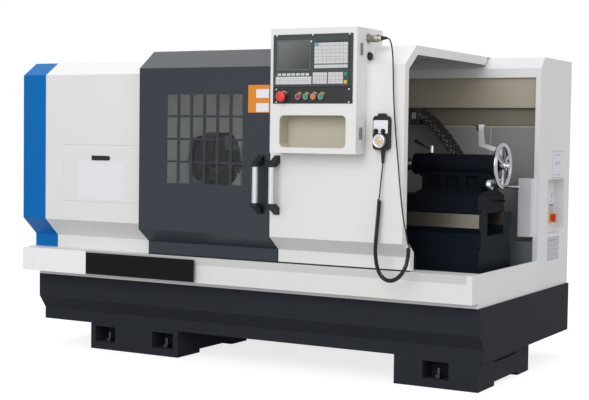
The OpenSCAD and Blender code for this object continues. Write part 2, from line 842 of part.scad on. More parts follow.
// the place along the chain's line and the slope there, at a distance from its start
function chain_step(run) = max([for (i = [0:len(chain_runs) - 2]) if (chain_runs[i] <= run) i]);
function chain_place(run) = let (
        i = chain_step(run),
        part = (run - chain_runs[i]) / (chain_runs[i + 1] - chain_runs[i])
    )
    chain_line[i] + part * (chain_line[i + 1] - chain_line[i]);
function chain_slope(run) = let (
        i = chain_step(run),
        way = chain_line[i + 1] - chain_line[i]
    )
    atan2(way[1], way[0]);

// one link of the cable chain: its frame and the tongue that enters the link before it
module link(i) {
    run = (i + 0.5) * link_pitch;
    place = chain_start + chain_place(run);
    tongue = i % 2 == 0 ? [link_pitch + 5, chain_width - 16, 28] : [link_pitch + 5, chain_width - 20, 24];
    end = link_pitch / 2 - 2;
    translate([place[0], chain_y, place[1]]) rotate([0, -chain_slope(run), 0]) {
        along_y(-chain_width / 2, chain_width / 2)
            polygon([[-end, -8], [6 - end, -23], [end - 6, -23], [end, -8], [end, 8], [end - 6, 23],
                [6 - end, 23], [-end, 8]]);
        translate([-link_pitch / 2 - 5, -tongue[1] / 2, -tongue[2] / 2]) cube(tongue);
    }
}

// the cable chain from its bracket on the back wall down to the carriage's arm
module cable_chain() {
    color("Black") shifted() {
        for (i = [0:link_count - 1]) link(i);
        block([chain_start[0] - 23, chain_y - chain_width / 2 - 2, chain_start[1] - 46],
            [chain_start[0] + 24, chain_y + chain_width / 2 + 2, chain_start[1] + 44]);
    }
}

// Doors

// a door's folded sheet with rims at both ends and its glide pads
module door_sheet(x0, x1) {
    along_x(x0, x1) polygon(folded_sheet(door_path, sheet));
    along_x(x0, x0 + sheet) polygon(folded_sheet(door_rim_path, door_rim));
    along_x(x1 - sheet, x1) polygon(folded_sheet(door_rim_path, door_rim));
    for (x = [x0 + 60, x1 - 160]) {
        block([x, door_low + sheet - 0.5, ledge_z + slide_gap], [x + 100, door_low + 46, ledge_z + 40]);
        block([x, cabinet_y + 83, cabinet_top + slide_gap], [x + 100, cabinet_y + 107, roof_z - sheet + 0.5]);
    }
}

// the dark door with its window grid
module left_door() {
    color("DimGray") shifted() difference() {
        door_sheet(door_left, door_left + left_door_length);
        for (i = [0:5])
            for (k = [0:3])
                block([window_left + i * pane_pitch[0], door_front - 1, window_bottom + k * pane_pitch[1]],
                    [window_left + i * pane_pitch[0] + pane_width, door_front + sheet + 1,
                        window_bottom + k * pane_pitch[1] + pane_height]);
    }
}

// the clear sheet behind the window grid
module left_window() {
    color("LightGray") shifted()
        block([window_left - 20, door_front + sheet, window_bottom - 20],
            [window_left + 5 * pane_pitch[0] + 86, door_front + sheet + 4,
                window_bottom + 3 * pane_pitch[1] + 136]);
}

// one handle bar
module handle(x) {
    translate([x, door_front - handle_stand, handle_low])
        cylinder(h = handle_high - handle_low, d = handle_bar);
}

// a handle's two brackets
module brackets(x) {
    y = door_front - handle_stand;
    reach = handle_bar / 2 + 2;
    for (flip = [0, 1])
        translate([x, 0, flip * (handle_low + handle_high)]) mirror([0, 0, flip])
            along_x(-18, 18)
                polygon([[door_front, handle_high + 62], [door_front, handle_high + 22],
                    [y + reach, handle_high], [y - reach, handle_high], [y - reach, handle_high + 18],
                    [y + 12, handle_high + 30]]);
}

// the bar of the left door's handle
module left_handle() {
    color("Silver") shifted() handle(left_handle_x);
}

// the brackets of the left door's handle
module left_brackets() {
    color("Black") shifted() brackets(left_handle_x);
}

// the white door that carries the control box
module right_door() {
    color("White") shifted() {
        door_sheet(seam_x + 2, door_right);
        along_x(door_right - sheet, door_right) polygon(folded_sheet(free_rim_path, free_rim));
    }
}

// the bar of the right door's handle
module right_handle() {
    color("Silver") shifted() handle(right_handle_x);
}

// the brackets of the right door's handle
module right_brackets() {
    color("Black") shifted() brackets(right_handle_x);
}

// Control box

// the box on the right door, open at the front
module control_box() {
    inner = moved_right(box_back, -sheet);
    color("White") shifted() difference() {
        along_x(box_left, box_right)
            polygon(concat(box_back, [[box_back[3][0], box_top], [box_face, box_top],
                [box_face, box_bottom]]));
        along_x(box_left + sheet, box_right - sheet)
            polygon([[inner[0][0], box_bottom + sheet], inner[1], inner[2],
                [inner[3][0] - sheet, inner[3][1]], [inner[3][0] - sheet, box_top - sheet],
                [box_face - 1, box_top - sheet], [box_face - 1, box_bottom + sheet]]);
    }
}

// the storage pocket's outline, grown by grow
module storage_outline(grow) {
    round_rectangle([box_left + 56 - grow, box_bottom + 29 - grow],
        [box_right - 57 + grow, box_bottom + 192 + grow], 25 + grow);
}

// the box's own door with the storage pocket
module control_door() {
    back = box_face - slide_gap;
    color("White") shifted() difference() {
        union() {
            difference() {
                block([box_left, panel_y, box_bottom], [box_right, back, box_top]);
                block([box_left + sheet, panel_y + sheet, box_bottom + sheet],
                    [box_right - sheet, back + 1, box_top - sheet]);
            }
            along_y(panel_y + 1, panel_y + storage_depth) storage_outline(2);
        }
        along_y(panel_y - 1, panel_y + storage_depth - 2) storage_outline(0);
    }
}

// the two hinges at the right side of the box
module control_hinges() {
    color("Silver") shifted()
        for (z = [box_bottom + 74, box_top - 138]) {
            translate([hinge_x, box_face, z]) cylinder(h = 60, r = 4.5);
            block([box_right, box_face, z], [box_right + 2, box_face + 24, z + 60]);
        }
}

// the dark plate and the control unit's frame on it, with the recess for its screen
module cnc_panel() {
    color("DarkSlateGray") shifted() difference() {
        union() {
            block([plate_left, plate_y, plate_top - 348], [plate_left + 455, panel_y, plate_top]);
            block([unit_left, unit_y, unit_top - 249], [unit_left + 427, plate_y, unit_top]);
        }
        block([unit_left + 19, unit_y - 1, unit_top - 162], [unit_left + 206, unit_y + 4, unit_top - 20]);
    }
}

// the screen in the control unit
module screen() {
    color("Gray") shifted()
        block([unit_left + 20, unit_y + 2, unit_top - 161], [unit_left + 205, unit_y + 4, unit_top - 21]);
}

// a field of keys, columns wide and rows high
module key_field(x, z, width, height, columns, rows, gap) {
    step = [width / columns, height / rows];
    for (i = [0:columns - 1])
        for (k = [0:rows - 1])
            block([unit_left + x + i * step[0] + gap / 2, unit_y - 2.5, unit_top - z + k * step[1] + gap / 2],
                [unit_left + x + (i + 1) * step[0] - gap / 2, unit_y,
                    unit_top - z + (k + 1) * step[1] - gap / 2]);
}

// the keys of the control unit
module keys() {
    color("Gainsboro") shifted() {
        key_field(232, 136, 187, 105, 8, 6, 3);
        key_field(232, 158, 187, 17, 8, 1, 3);
        key_field(18, 197, 188, 18, 7, 1, 7);
        key_field(10, 237, 206, 38, 10, 2, 2);
        key_field(224, 236, 81, 57, 4, 3, 3);
        key_field(311, 236, 83, 57, 4, 3, 3);
        key_field(399, 198, 18, 18, 1, 1, 2);
        key_field(399, 237, 18, 18, 1, 1, 2);
    }
}

// the rings round the push buttons and the emergency stop's collar
module button_bezels() {
    color("Silver") shifted() {
        for (x = button_x) difference() {
            bar_y(plate_y - 12, plate_y, x, button_z, button_diameter / 2 + 4.5);
            bar_y(plate_y - 13, plate_y + 1, x, button_z, button_diameter / 2 + turn_gap);
        }
        difference() {
            bar_y(plate_y - 10, plate_y, estop_x, button_z, 20);
            bar_y(plate_y - 11, plate_y + 1, estop_x, button_z, 12 + turn_gap);
        }
    }
}

// the emergency stop's mushroom head
module estop() {
    color("Red") shifted() {
        bar_y(plate_y - 22, plate_y - 6, estop_x, button_z, 12);
        translate([estop_x, plate_y - 20, button_z]) rotate([90, 0, 0])
            rotate_extrude() polygon([[0, 0], [estop_diameter / 2 - 5, 0], [estop_diameter / 2, 5],
                [estop_diameter / 2, 14], [estop_diameter / 2 - 5, 20], [estop_diameter / 2 - 14, 22],
                [0, 22]]);
    }
}

// one push button's cap
module push_button(x) {
    bar_y(plate_y - 15, plate_y - 6, x, button_z, button_diameter / 2);
}

// the red push button
module button_red() {
    color("Red") shifted() push_button(button_x[0]);
}

// the first green push button
module button_green() {
    color("Green") shifted() push_button(button_x[1]);
}

// the orange push button
module button_orange() {
    color("Orange") shifted() push_button(button_x[2]);
}

// the second green push button
module button_start() {
    color("Green") shifted() push_button(button_x[3]);
}

// Pendant

// the metal connector at the right side of the box
module pendant_socket() {
    x = socket_place[0];
    color("Silver") shifted() {
        bar_x(x, x + 6, socket_place[1], socket_place[2], 24);
        bar_x(x + 5, x + 40, socket_place[1], socket_place[2], 17);
        bar_x(x + 22, x + 58, socket_place[1], socket_place[2], 20);
        bar_x(x + 57, x + 76, socket_place[1], socket_place[2], 15);
    }
}

// the connector's boot, the grommet under it and the pendant's strain relief
module rubber_fittings() {
    color("Black") shifted() {
        translate([socket_place[0] + 76, socket_place[1], socket_place[2]]) rotate([0, 90, 0])
            cylinder(h = 27, r1 = 11, r2 = 6);
        translate([box_right, door_front + 20, ledge_z + 1080]) rotate([0, 90, 0]) {
            cylinder(h = 9, r = 20);
            translate([0, 0, 8]) cylinder(h = 9, r1 = 20, r2 = 14);
        }
        translate([gland_x, door_front - 18, pendant_bottom - 67]) cylinder(h = 67, r1 = 6, r2 = 12);
    }
}

// the hand pendant's case with its hook
module pendant_body() {
    color("Black") shifted() {
        along_y(pendant_face, door_front)
            round_rectangle([pendant_left, pendant_bottom],
                [pendant_left + pendant_width, pendant_bottom + 169], 18);
        along_y(pendant_face + 8, door_front - 9)
            round_rectangle([pendant_left + 22, pendant_bottom + 150],
                [pendant_left + 64, pendant_bottom + 181], 8);
    }
}

wheel_place = [pendant_left + 43, pendant_bottom + 44];

// the pendant's hand wheel with its finger knob
module pendant_wheel() {
    y = pendant_face - slide_gap;
    color("Silver") shifted() {
        bar_y(y - 4, y, wheel_place[0], wheel_place[1], pendant_wheel_diameter / 2 - 6);
        bar_y(y - 17, y - 3, wheel_place[0], wheel_place[1], pendant_wheel_diameter / 2);
        bar_y(y - 23, y - 16, wheel_place[0], wheel_place[1] + pendant_wheel_diameter / 2 - 9, 5);
    }
}

// one pointer knob on the pendant
module pointer_knob(x) {
    y = pendant_face - slide_gap;
    z = pendant_bottom + 92;
    bar_y(y - 6, y, pendant_left + x, z, 12);
    block([pendant_left + x - 4, y - 15, z - 12], [pendant_left + x + 4, y - 5, z + 12]);
}

// the knob that picks the axis
module axis_knob() {
    color("Black") shifted() pointer_knob(19);
}

// the knob that picks the step
module step_knob() {
    color("Black") shifted() pointer_knob(58);
}

// the pendant's cord: straight, curly and straight again
module pendant_cord() {
    color("Black") shifted() translate(cord_start) {
        tube(curve(upper_route, 4), cord_diameter / 2, 8);
        tube(curve(coil_route, 2), coil_diameter / 2, 12);
        tube(curve(lower_route, 3), cord_diameter / 2, 8);
    }
}

base_frame();
left_foot();
right_foot();
levelling_bolts();
chip_tray();
front_boards();
headstock_cover();
end_cover();
access_panel();
access_latch();
rear_cabinet();
terminal_box();
switch_plate();
switch_knob();
bed();
headstock();
spindle();
chuck();
jaw_1();
jaw_2();
jaw_3();
carriage();
cross_slide();
turret_base();
turret();
lead_screw();
tailstock_base();
tailstock_body();
quill();
handwheel();
wheel_grip();
clamp_lever();
lock_lever();
cable_chain();
left_door();
left_window();
left_handle();
left_brackets();
right_door();
right_handle();
right_brackets();
control_box();
control_door();
control_hinges();
cnc_panel();
screen();
keys();
button_bezels();
estop();
button_red();
button_green();
button_orange();
button_start();
pendant_socket();
rubber_fittings();
pendant_body();
pendant_wheel();
axis_knob();
step_knob();
pendant_cord();
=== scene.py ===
"""The looks of a CNC turning lathe: finishes, fittings, cord, chain, stage and camera, in metres."""

from math import cos, pi, radians, sin

import bmesh
import bpy
from mathutils import Matrix, Vector

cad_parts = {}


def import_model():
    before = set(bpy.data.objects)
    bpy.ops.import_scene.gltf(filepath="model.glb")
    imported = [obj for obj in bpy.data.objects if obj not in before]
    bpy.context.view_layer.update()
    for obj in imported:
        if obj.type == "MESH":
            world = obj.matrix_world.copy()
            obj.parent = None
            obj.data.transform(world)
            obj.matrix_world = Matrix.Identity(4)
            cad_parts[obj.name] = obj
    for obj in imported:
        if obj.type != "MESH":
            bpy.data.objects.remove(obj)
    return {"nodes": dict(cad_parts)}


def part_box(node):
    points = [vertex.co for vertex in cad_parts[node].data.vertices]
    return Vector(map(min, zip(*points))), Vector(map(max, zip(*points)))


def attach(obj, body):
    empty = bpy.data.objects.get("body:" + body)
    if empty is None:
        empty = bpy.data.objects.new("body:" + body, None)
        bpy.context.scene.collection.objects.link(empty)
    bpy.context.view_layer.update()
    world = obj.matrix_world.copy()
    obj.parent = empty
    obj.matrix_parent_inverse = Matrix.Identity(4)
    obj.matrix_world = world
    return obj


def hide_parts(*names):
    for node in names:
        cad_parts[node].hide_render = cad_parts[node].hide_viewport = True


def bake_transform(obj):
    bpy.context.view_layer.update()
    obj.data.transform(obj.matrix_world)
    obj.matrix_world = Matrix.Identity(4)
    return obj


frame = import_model()
scene = bpy.context.scene
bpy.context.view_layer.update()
nodes = frame["nodes"]

MM = 0.001

# Photograph's camera: place, turn to the left of the front, height over the horizon and roll
CAMERA_PLACE = (3.7001, -6.4984, 1.2773)
CAMERA_TURN = radians(29.404)
CAMERA_RISE = radians(2.858)
CAMERA_ROLL = radians(0.779)
CAMERA_LENS = 78.15
CAMERA_SENSOR = 36.0

# Directions that a flat fitting can face: local X, local Y and outward
FRONT = (Vector((1, 0, 0)), Vector((0, 0, 1)), Vector((0, -1, 0)))
BACK = (Vector((-1, 0, 0)), Vector((0, 0, 1)), Vector((0, 1, 0)))
RIGHT = (Vector((0, 1, 0)), Vector((0, 0, 1)), Vector((1, 0, 0)))
UP = (Vector((1, 0, 0)), Vector((0, 1, 0)), Vector((0, 0, 1)))
FAR = 9.0  # beyond every part of the machine, for zones without an end


def srgb(red, green, blue):
    """A colour from 0 to 255 as the linear colour that a shader takes."""
    linear = []
    for value in (red, green, blue):
        share = value / 255
        linear.append(share / 12.92 if share <= 0.04045 else ((share + 0.055) / 1.055) ** 2.4)
    return (*linear, 1.0)


def shade(color, factor):
    """A colour made lighter or darker."""
    return (*(min(value * factor, 1.0) for value in color[:3]), 1.0)


def middle_of(node):
    """The middle of a node's box."""
    low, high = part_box(node)
    return (low + high) / 2


def front_middle(node, depth):
    """The middle of a node as seen from the front, at a depth along Y."""
    middle = middle_of(node)
    return Vector((middle.x, depth, middle.z))


# Places on the frame that several parts use
DOOR_INSET = 97 * MM  # from a door's front face back to its lowest part
PLATE_DEPTH = 8 * MM  # from the key unit's face back to the panel's plate
UNIT_INSET = 11 * MM  # from the panel's left edge to the key unit
UNIT_DROP = 14 * MM  # from the panel's top edge to the key unit
SKIN = 0.5 * MM  # by which a painted zone passes the face that it covers

ledge_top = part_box("chip_tray")[1].z
way_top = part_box("headstock")[0].z
axis_middle = middle_of("quill")
panel_low, panel_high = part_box("cnc_panel")
plate_face = panel_low.y + PLATE_DEPTH
unit_corner = Vector((panel_low.x + UNIT_INSET, panel_low.y, panel_high.z - UNIT_DROP))


# Finishes

def add(tree, kind, inputs=None, **settings):
    """A new shader node of a kind with its settings, and its inputs set or linked."""
    made = tree.nodes.new("ShaderNode" + kind)
    for key, value in settings.items():
        setattr(made, key, value)
    for key, value in (inputs or {}).items():
        if isinstance(value, bpy.types.NodeSocket):
            tree.links.new(value, made.inputs[key])
        else:
            made.inputs[key].default_value = value
    return made


def mixed(tree, factor, first, second):
    """The colour between two colours."""
    mix = add(tree, "Mix", {0: factor, 6: first, 7: second}, data_type="RGBA")
    return mix.outputs[2]


def mottled(tree, cloud, color, mottle):
    """A colour, given from 0 to 255, that varies by a share."""
    base = srgb(*color)
    return mixed(tree, cloud, shade(base, 1 - mottle), shade(base, 1 + mottle))


def noise(tree, place, scale, detail):
    """A cloudy value from 0 to 1."""
    return add(tree, "TexNoise", {"Vector": place, "Scale": scale, "Detail": detail}).outputs["Fac"]


def ranged(tree, value, low, high):
    """A value from 0 to 1 spread over a range."""
    return add(tree, "MapRange", {"Value": value, "To Min": low, "To Max": high}).outputs[0]


def maths(tree, operation, first, second):
    """The result of an operation on two values."""
    return add(tree, "Math", {0: first, 1: second}, operation=operation).outputs[0]


def vector_maths(tree, operation, first, second):
    """The result of an operation on two vectors."""
    return add(tree, "VectorMath", {0: first, 1: second}, operation=operation).outputs[0]


def inside_box(tree, place, low, high):
    """1 for places between two corners, else 0."""
    above = vector_maths(tree, "SUBTRACT", place, low)
    below = vector_maths(tree, "SUBTRACT", high, place)
    both = vector_maths(tree, "MULTIPLY", above, below)
    x, y, z = add(tree, "SeparateXYZ", {0: both}).outputs
    least = maths(tree, "MINIMUM", maths(tree, "MINIMUM", x, y), z)
    return maths(tree, "GREATER_THAN", least, 0.0)


CLOUD_DETAIL = 5.0
GRAIN_DETAIL = 3.0
BUMP_STRENGTH = 0.6


def finish(name, color, rough, mottle=0.04, mottle_scale=2.5, metal=0.0, grain=0.0, grain_scale=300.0,
           stretch=(1, 1, 1), coat=0.0, specular=0.5, zones=()):
    """A procedural finish. color is from 0 to 255, rough the range of roughness, mottle the share by which
    the colour varies, and grain the height of the fine texture in metres.
    zones holds colour, roughness range, metal, low corner and high corner of parts with another finish."""
    made = bpy.data.materials.new(name)
    made.use_nodes = True
    tree = made.node_tree
    shader = tree.nodes["Principled BSDF"]
    place = add(tree, "TexCoord").outputs["Object"]
    drawn = add(tree, "Mapping", {"Vector": place, "Scale": stretch}).outputs["Vector"]
    cloud = noise(tree, place, mottle_scale, CLOUD_DETAIL)
    fine = noise(tree, drawn, grain_scale, GRAIN_DETAIL)
    tone = mottled(tree, cloud, color, mottle)
    dull = ranged(tree, fine, *rough)
    for key, value in (("Metallic", metal), ("Coat Weight", coat), ("Specular IOR Level", specular)):
        shader.inputs[key].default_value = value
    for zone_color, zone_rough, zone_metal, low, high in zones:
        inside = inside_box(tree, place, low, high)
        tone = mixed(tree, inside, tone, mottled(tree, cloud, zone_color, mottle))
        zone_dull = ranged(tree, fine, *zone_rough)
        dull = add(tree, "Mix", {0: inside, 2: dull, 3: zone_dull}, data_type="FLOAT").outputs[0]
        if zone_metal != metal:
            tree.links.new(ranged(tree, inside, metal, zone_metal), shader.inputs["Metallic"])
    tree.links.new(tone, shader.inputs["Base Color"])
    tree.links.new(dull, shader.inputs["Roughness"])
    if grain:
        bump = add(tree, "Bump", {"Height": fine, "Strength": BUMP_STRENGTH, "Distance": grain})
        tree.links.new(bump.outputs[0], shader.inputs["Normal"])
    return made


def window_finish():
    """Clear polycarbonate with a faint tint and fine scratches."""
    made = finish("window_glass", (246, 251, 247), (0.03, 0.07), specular=0.3, grain=0.00001,
                  grain_scale=60.0)
    shader = made.node_tree.nodes["Principled BSDF"]
    shader.inputs["Transmission Weight"].default_value = 0.985
    shader.inputs["IOR"].default_value = 1.15
    return made


def screen_painted_reflection_finish():
    """The unlit screen: dark film with a painted reflection that makes it paler towards its upper left
    corner.
    """
    made = finish("screen_glass", (64, 66, 69), (0.10, 0.18), 0.06, 9.0, coat=0.3)
    tree = made.node_tree
    shader = tree.nodes["Principled BSDF"]
    low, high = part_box("screen")
    reflection_slope = Vector((1 / (high.x - low.x), 0, -1 / (high.z - low.z)))
    start = reflection_slope.dot(Vector((low.x, 0, high.z)))
    place = add(tree, "TexCoord").outputs["Object"]
    along = add(tree, "VectorMath", {0: place, 1: reflection_slope}, operation="DOT_PRODUCT").outputs["Value"]
    share = add(tree, "MapRange", {"Value": along, "From Min": start, "From Max": start + 2}).outputs[0]
    # Painted reflection: the film's colour runs from pale at the upper left to dark at the lower right.
    tone = mixed(tree, share, srgb(112, 112, 113), srgb(36, 40, 44))
    tree.links.new(tone, shader.inputs["Base Color"])
    return made


def bed_zone():
    """The ground front face and tops of the ways, up to the bed's painted end."""
    way_face = 71 * MM
    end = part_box("bed")[1].x - SKIN
    return ((114, 110, 100), (0.30, 0.46), 1.0, Vector((-FAR, -FAR, way_top - way_face)),
            Vector((end, FAR, FAR)))


def board_zone():
    """The black plate, at the right of the white board."""
    white_length = 472.2 * MM
    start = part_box("front_boards")[0].x + white_length
    return ((11, 11, 13), (0.36, 0.48), 0.0, Vector((start, -FAR, -FAR)), Vector((FAR, FAR, FAR)))


# Bands of the work area's back wall over the cabinet's foot, darker than the cabinet's white partly by the
# wall's own grey and partly as painted shade under the canopy, the top band lighter as painted light: colour,
# lower edge and upper edge
WALL_SHADE_BANDS = [((100, 110, 114), -1 * MM, 277 * MM), ((127, 122, 108), 277 * MM, 1023 * MM),
              ((176, 166, 150), 1023 * MM, 1191 * MM)]
WALL_ROUGH = (0.45, 0.60)


def wall_shade_zones():
    """The work area's back wall: painted shade on its dark lower part and on its recess, and painted light on
    the lighter strip over it.
    """
    cover_flange, skin, recess = 15 * MM, 2 * MM, 58 * MM
    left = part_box("headstock_cover")[1].x + cover_flange
    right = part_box("terminal_box")[1].x + SKIN
    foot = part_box("rear_cabinet")[0]
    return [(color, WALL_ROUGH, 0.0, Vector((left, foot.y - skin, foot.z + start)),
             Vector((right, foot.y + recess, foot.z + end))) for color, start, end in WALL_SHADE_BANDS]


def pocket_shade_zone():
    """The inside of the storage pocket in the control box's door, in painted shade: a darker warm grey for
    the recess's shade.
    """
    left, right, skin = 55 * MM, 56 * MM, 0.4 * MM
    sill, lintel = 28 * MM, 193 * MM
    low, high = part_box("control_door")
    return ((192, 187, 170), WALL_ROUGH, 0.0, low + Vector((left, skin, sill)),
            Vector((high.x - right, FAR, low.z + lintel)))


def boss_zone():
    """The bare boss at the tailstock's right end."""
    drop, radius, length, depth = 99 * MM, 27 * MM, 23.8 * MM, 53 * MM
    low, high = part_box("tailstock_body")
    middle = axis_middle.z - drop
    return ((190, 190, 192), (0.26, 0.40), 1.0, Vector((high.x - length, low.y - MM, middle - radius)),
            Vector((FAR, low.y + depth, middle + radius)))


def post_zone():
    """The bright post of the quill's lock lever."""
    width, height = 21.2 * MM, 37.2 * MM
    low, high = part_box("lock_lever")
    return ((214, 214, 218), (0.10, 0.20), 1.0, Vector((high.x - width, -FAR, -FAR)),
            Vector((FAR, FAR, low.z + height)))


def strip_zone():
    """The part of the panel's plate that carries the buttons."""
    height = 85 * MM
    return ((44, 43, 45), (0.40, 0.54), 0.0, Vector((-FAR, -FAR, -FAR)),
            Vector((FAR, FAR, panel_low.z + height)))


# Settings that several finishes share
SHEET = {"grain": 0.00003, "grain_scale": 420.0}
WHITE = {**SHEET, "mottle": 0.015, "specular": 0.35}
TEXTURED = {"grain_scale": 900.0}
CAST = {"grain_scale": 140.0, "mottle": 0.12, "mottle_scale": 9.0, "specular": 0.012}
IRON = {"metal": 1.0, "grain": 0.00002, "grain_scale": 60.0, "mottle": 0.08}

white_paint = finish("white_paint", (232, 232, 231), (0.34, 0.48), **WHITE)
# The recess's cover sheets are grey, partly the wall's own colour and partly painted shade under the canopy.
# The trims are lighter, as a painted highlight on their raised edges.
wall_sheet_shade = finish("wall_sheet_shade", (144, 147, 142), (0.42, 0.56), **SHEET, mottle=0.03, specular=0.35)
trim_shade_and_highlight = finish("trim_shade_and_highlight", (198, 196, 182), (0.36, 0.50), mottle=0.03, specular=0.35)
# Its zones paint shade and light on the work area's back wall.
cabinet_paint_and_wall_shade = finish("cabinet_paint_and_wall_shade", (230, 230, 232), (0.34, 0.48), **WHITE, zones=wall_shade_zones())
# The storage pocket's zone is painted shade.
box_door_paint_and_pocket_shade = finish("box_door_paint_and_pocket_shade", (232, 232, 231), (0.34, 0.48), **WHITE, zones=[pocket_shade_zone()])
blue_paint = finish("blue_paint", (2, 108, 184), (0.36, 0.48), **SHEET, specular=0.12)
dark_paint = finish("dark_paint", (29, 38, 49), (0.34, 0.50), **TEXTURED, grain=0.00012, specular=0.42)
base_paint = finish("base_paint", (48, 51, 57), (0.50, 0.68), **TEXTURED, grain=0.00014, specular=0.02)
casting_paint = finish("casting_paint", (22, 26, 33), (0.34, 0.52), **CAST, grain=0.0002)
tailstock_paint = finish("tailstock_paint", (22, 26, 33), (0.34, 0.52), **CAST, grain=0.0002,
                         zones=[boss_zone()])
bed_paint = finish("bed_paint", (25, 31, 39), (0.34, 0.52), **CAST, grain=0.0001, zones=[bed_zone()])
board_finish = finish("board_finish", (250, 250, 251), (0.36, 0.46), 0.01, specular=0.1, zones=[board_zone()])
grey_paint = finish("grey_paint", (222, 223, 230), (0.36, 0.50), **SHEET)
iron = finish("machined_iron", (120, 120, 122), (0.28, 0.46), **IRON, stretch=(1, 24, 24))
# Painted shade: the chuck's steel is darkened to the shade that it stands in behind the window.
chuck_iron_painted_shade = finish("chuck_iron_painted_shade", (26, 26, 26), (0.30, 0.46), **IRON, stretch=(24, 1, 1))
steel = finish("turned_steel", (190, 189, 187), (0.18, 0.36), metal=1.0, grain=0.00001,
               grain_scale=50.0, stretch=(40, 1, 1), mottle=0.05)
bolt_steel = finish("blackened_steel", (70, 71, 74), (0.30, 0.46), 0.10, 40.0, metal=1.0)
chrome = finish("chrome", (206, 207, 211), (0.08, 0.18), 0.03, 20.0, metal=1.0)
socket_metal = finish("socket_metal", (150, 146, 137), (0.30, 0.42), 0.06, 40.0, metal=1.0)
hinge_steel = finish("hinge_steel", (122, 118, 110), (0.34, 0.48), 0.08, 60.0, metal=1.0)
face_brass = finish("face_brass", (184, 166, 146), (0.34, 0.46), 0.06, 40.0, metal=1.0)
black_oxide = finish("black_oxide", (10, 10, 11), (0.45, 0.60), 0.10, 60.0, specular=0.1)
wheel_chrome = finish("wheel_chrome", (160, 161, 165), (0.14, 0.26), 0.06, 14.0, metal=1.0)
aluminium = finish("aluminium", (188, 190, 194), (0.28, 0.42), metal=1.0, grain=0.00002,
                   grain_scale=90.0, stretch=(1, 1, 12), mottle=0.05)
black_plastic = finish("black_plastic", (22, 22, 24), (0.42, 0.60), grain=0.00006,
                       grain_scale=1400.0, specular=0.3)
# Painted highlight: the lighter grey of the chain's hubs, for the light dots along it.
chain_hub_highlight = finish("chain_hub_highlight", (142, 142, 136), (0.34, 0.48), 0.10, 30.0)
chain_plastic = finish("chain_plastic", (56, 55, 53), (0.40, 0.56), 0.08, 20.0, specular=0.4)
lever_black = finish("lever_black", (18, 18, 19), (0.36, 0.52), 0.06, specular=0.3, zones=[post_zone()])
panel_grey = finish("panel_grey", (62, 70, 71), (0.42, 0.56), grain=0.00004, grain_scale=1600.0,
                    specular=0.3, zones=[strip_zone()])
mark_grey = finish("mark_grey", (136, 134, 140), (0.45, 0.55), 0.06, 80.0)
sheet_grey = finish("sheet_grey", (150, 150, 155), (0.45, 0.55), 0.04, 80.0)
frame_grey = finish("frame_grey", (98, 103, 105), (0.34, 0.46), 0.05, 60.0)
zinc = finish("zinc", (226, 227, 229), (0.26, 0.40), 0.05, 90.0, metal=0.6)
key_grey = finish("key_grey", (214, 213, 216), (0.40, 0.52), grain=0.00002, grain_scale=2200.0)
key_blue = finish("key_blue", (78, 170, 214), (0.36, 0.48), 0.05, 60.0)
rubber = finish("rubber", (27, 27, 29), (0.50, 0.66), grain=0.00004, grain_scale=1200.0, specular=0.35)
dark_glass = finish("dark_glass", (42, 44, 47), (0.12, 0.20), 0.10, 9.0, coat=0.3)
screen_glass = screen_painted_reflection_finish()
window_glass = window_finish()
red_plastic = finish("red_plastic", (226, 52, 44), (0.24, 0.36), 0.05, 30.0)
green_plastic = finish("green_plastic", (24, 150, 92), (0.20, 0.32), 0.08, 60.0)
orange_plastic = finish("orange_plastic", (236, 112, 16), (0.20, 0.32), 0.08, 60.0)
yellow_plastic = finish("yellow_plastic", (228, 196, 52), (0.26, 0.38), 0.05, 30.0)
dark_red = finish("dark_red_plastic", (176, 20, 26), (0.20, 0.32), 0.08, 60.0)
paper = finish("paper", (236, 236, 243), (0.55, 0.70), 0.015, 40.0, specular=0.2)
plate_grey = finish("plate_grey", (192, 194, 203), (0.40, 0.52), 0.03, 30.0)
line_grey = finish("line_grey", (176, 180, 196), (0.45, 0.58), 0.03, 60.0)
plate_orange = finish("plate_orange", (224, 136, 16), (0.36, 0.48), 0.04, 30.0)
arc_tan = finish("arc_tan", (206, 164, 92), (0.34, 0.46), 0.06, 60.0)
lamp_cream = finish("lamp_cream", (236, 232, 196), (0.22, 0.32), 0.03, 60.0)

# Finish of every solid
NODE_FINISH = [
    (base_paint, "base_frame left_foot right_foot"),
    (bolt_steel, "levelling_bolts"),
    (white_paint, "chip_tray headstock_cover access_panel right_door control_box"),
    (board_finish, "front_boards"),
    (blue_paint, "end_cover"),
    (black_plastic, "access_latch left_brackets right_brackets pendant_body axis_knob step_knob"),
    (cabinet_paint_and_wall_shade, "rear_cabinet"),
    (grey_paint, "terminal_box"),
    (yellow_plastic, "switch_plate"),
    (red_plastic, "switch_knob estop"),
    (bed_paint, "bed"),
    (casting_paint, "headstock carriage turret_base tailstock_base"),
    (steel, "spindle jaw_1 jaw_2 jaw_3 turret lead_screw quill"),
    (chuck_iron_painted_shade, "chuck"),
    (iron, "cross_slide"),
    (tailstock_paint, "tailstock_body"),
    (wheel_chrome, "handwheel wheel_grip button_bezels"),
    (aluminium, "clamp_lever left_handle right_handle pendant_wheel"),
    (lever_black, "lock_lever"),
    (chain_plastic, "cable_chain"),
    (dark_paint, "left_door"),
    (window_glass, "left_window"),
    (box_door_paint_and_pocket_shade, "control_door"),
    (hinge_steel, "control_hinges"),
    (panel_grey, "cnc_panel"),
    (screen_glass, "screen"),
    (key_grey, "keys"),
    (dark_red, "button_red"),
    (green_plastic, "button_green button_start"),
    (orange_plastic, "button_orange"),
    (socket_metal, "pendant_socket"),
    (rubber, "rubber_fittings pendant_cord"),
]

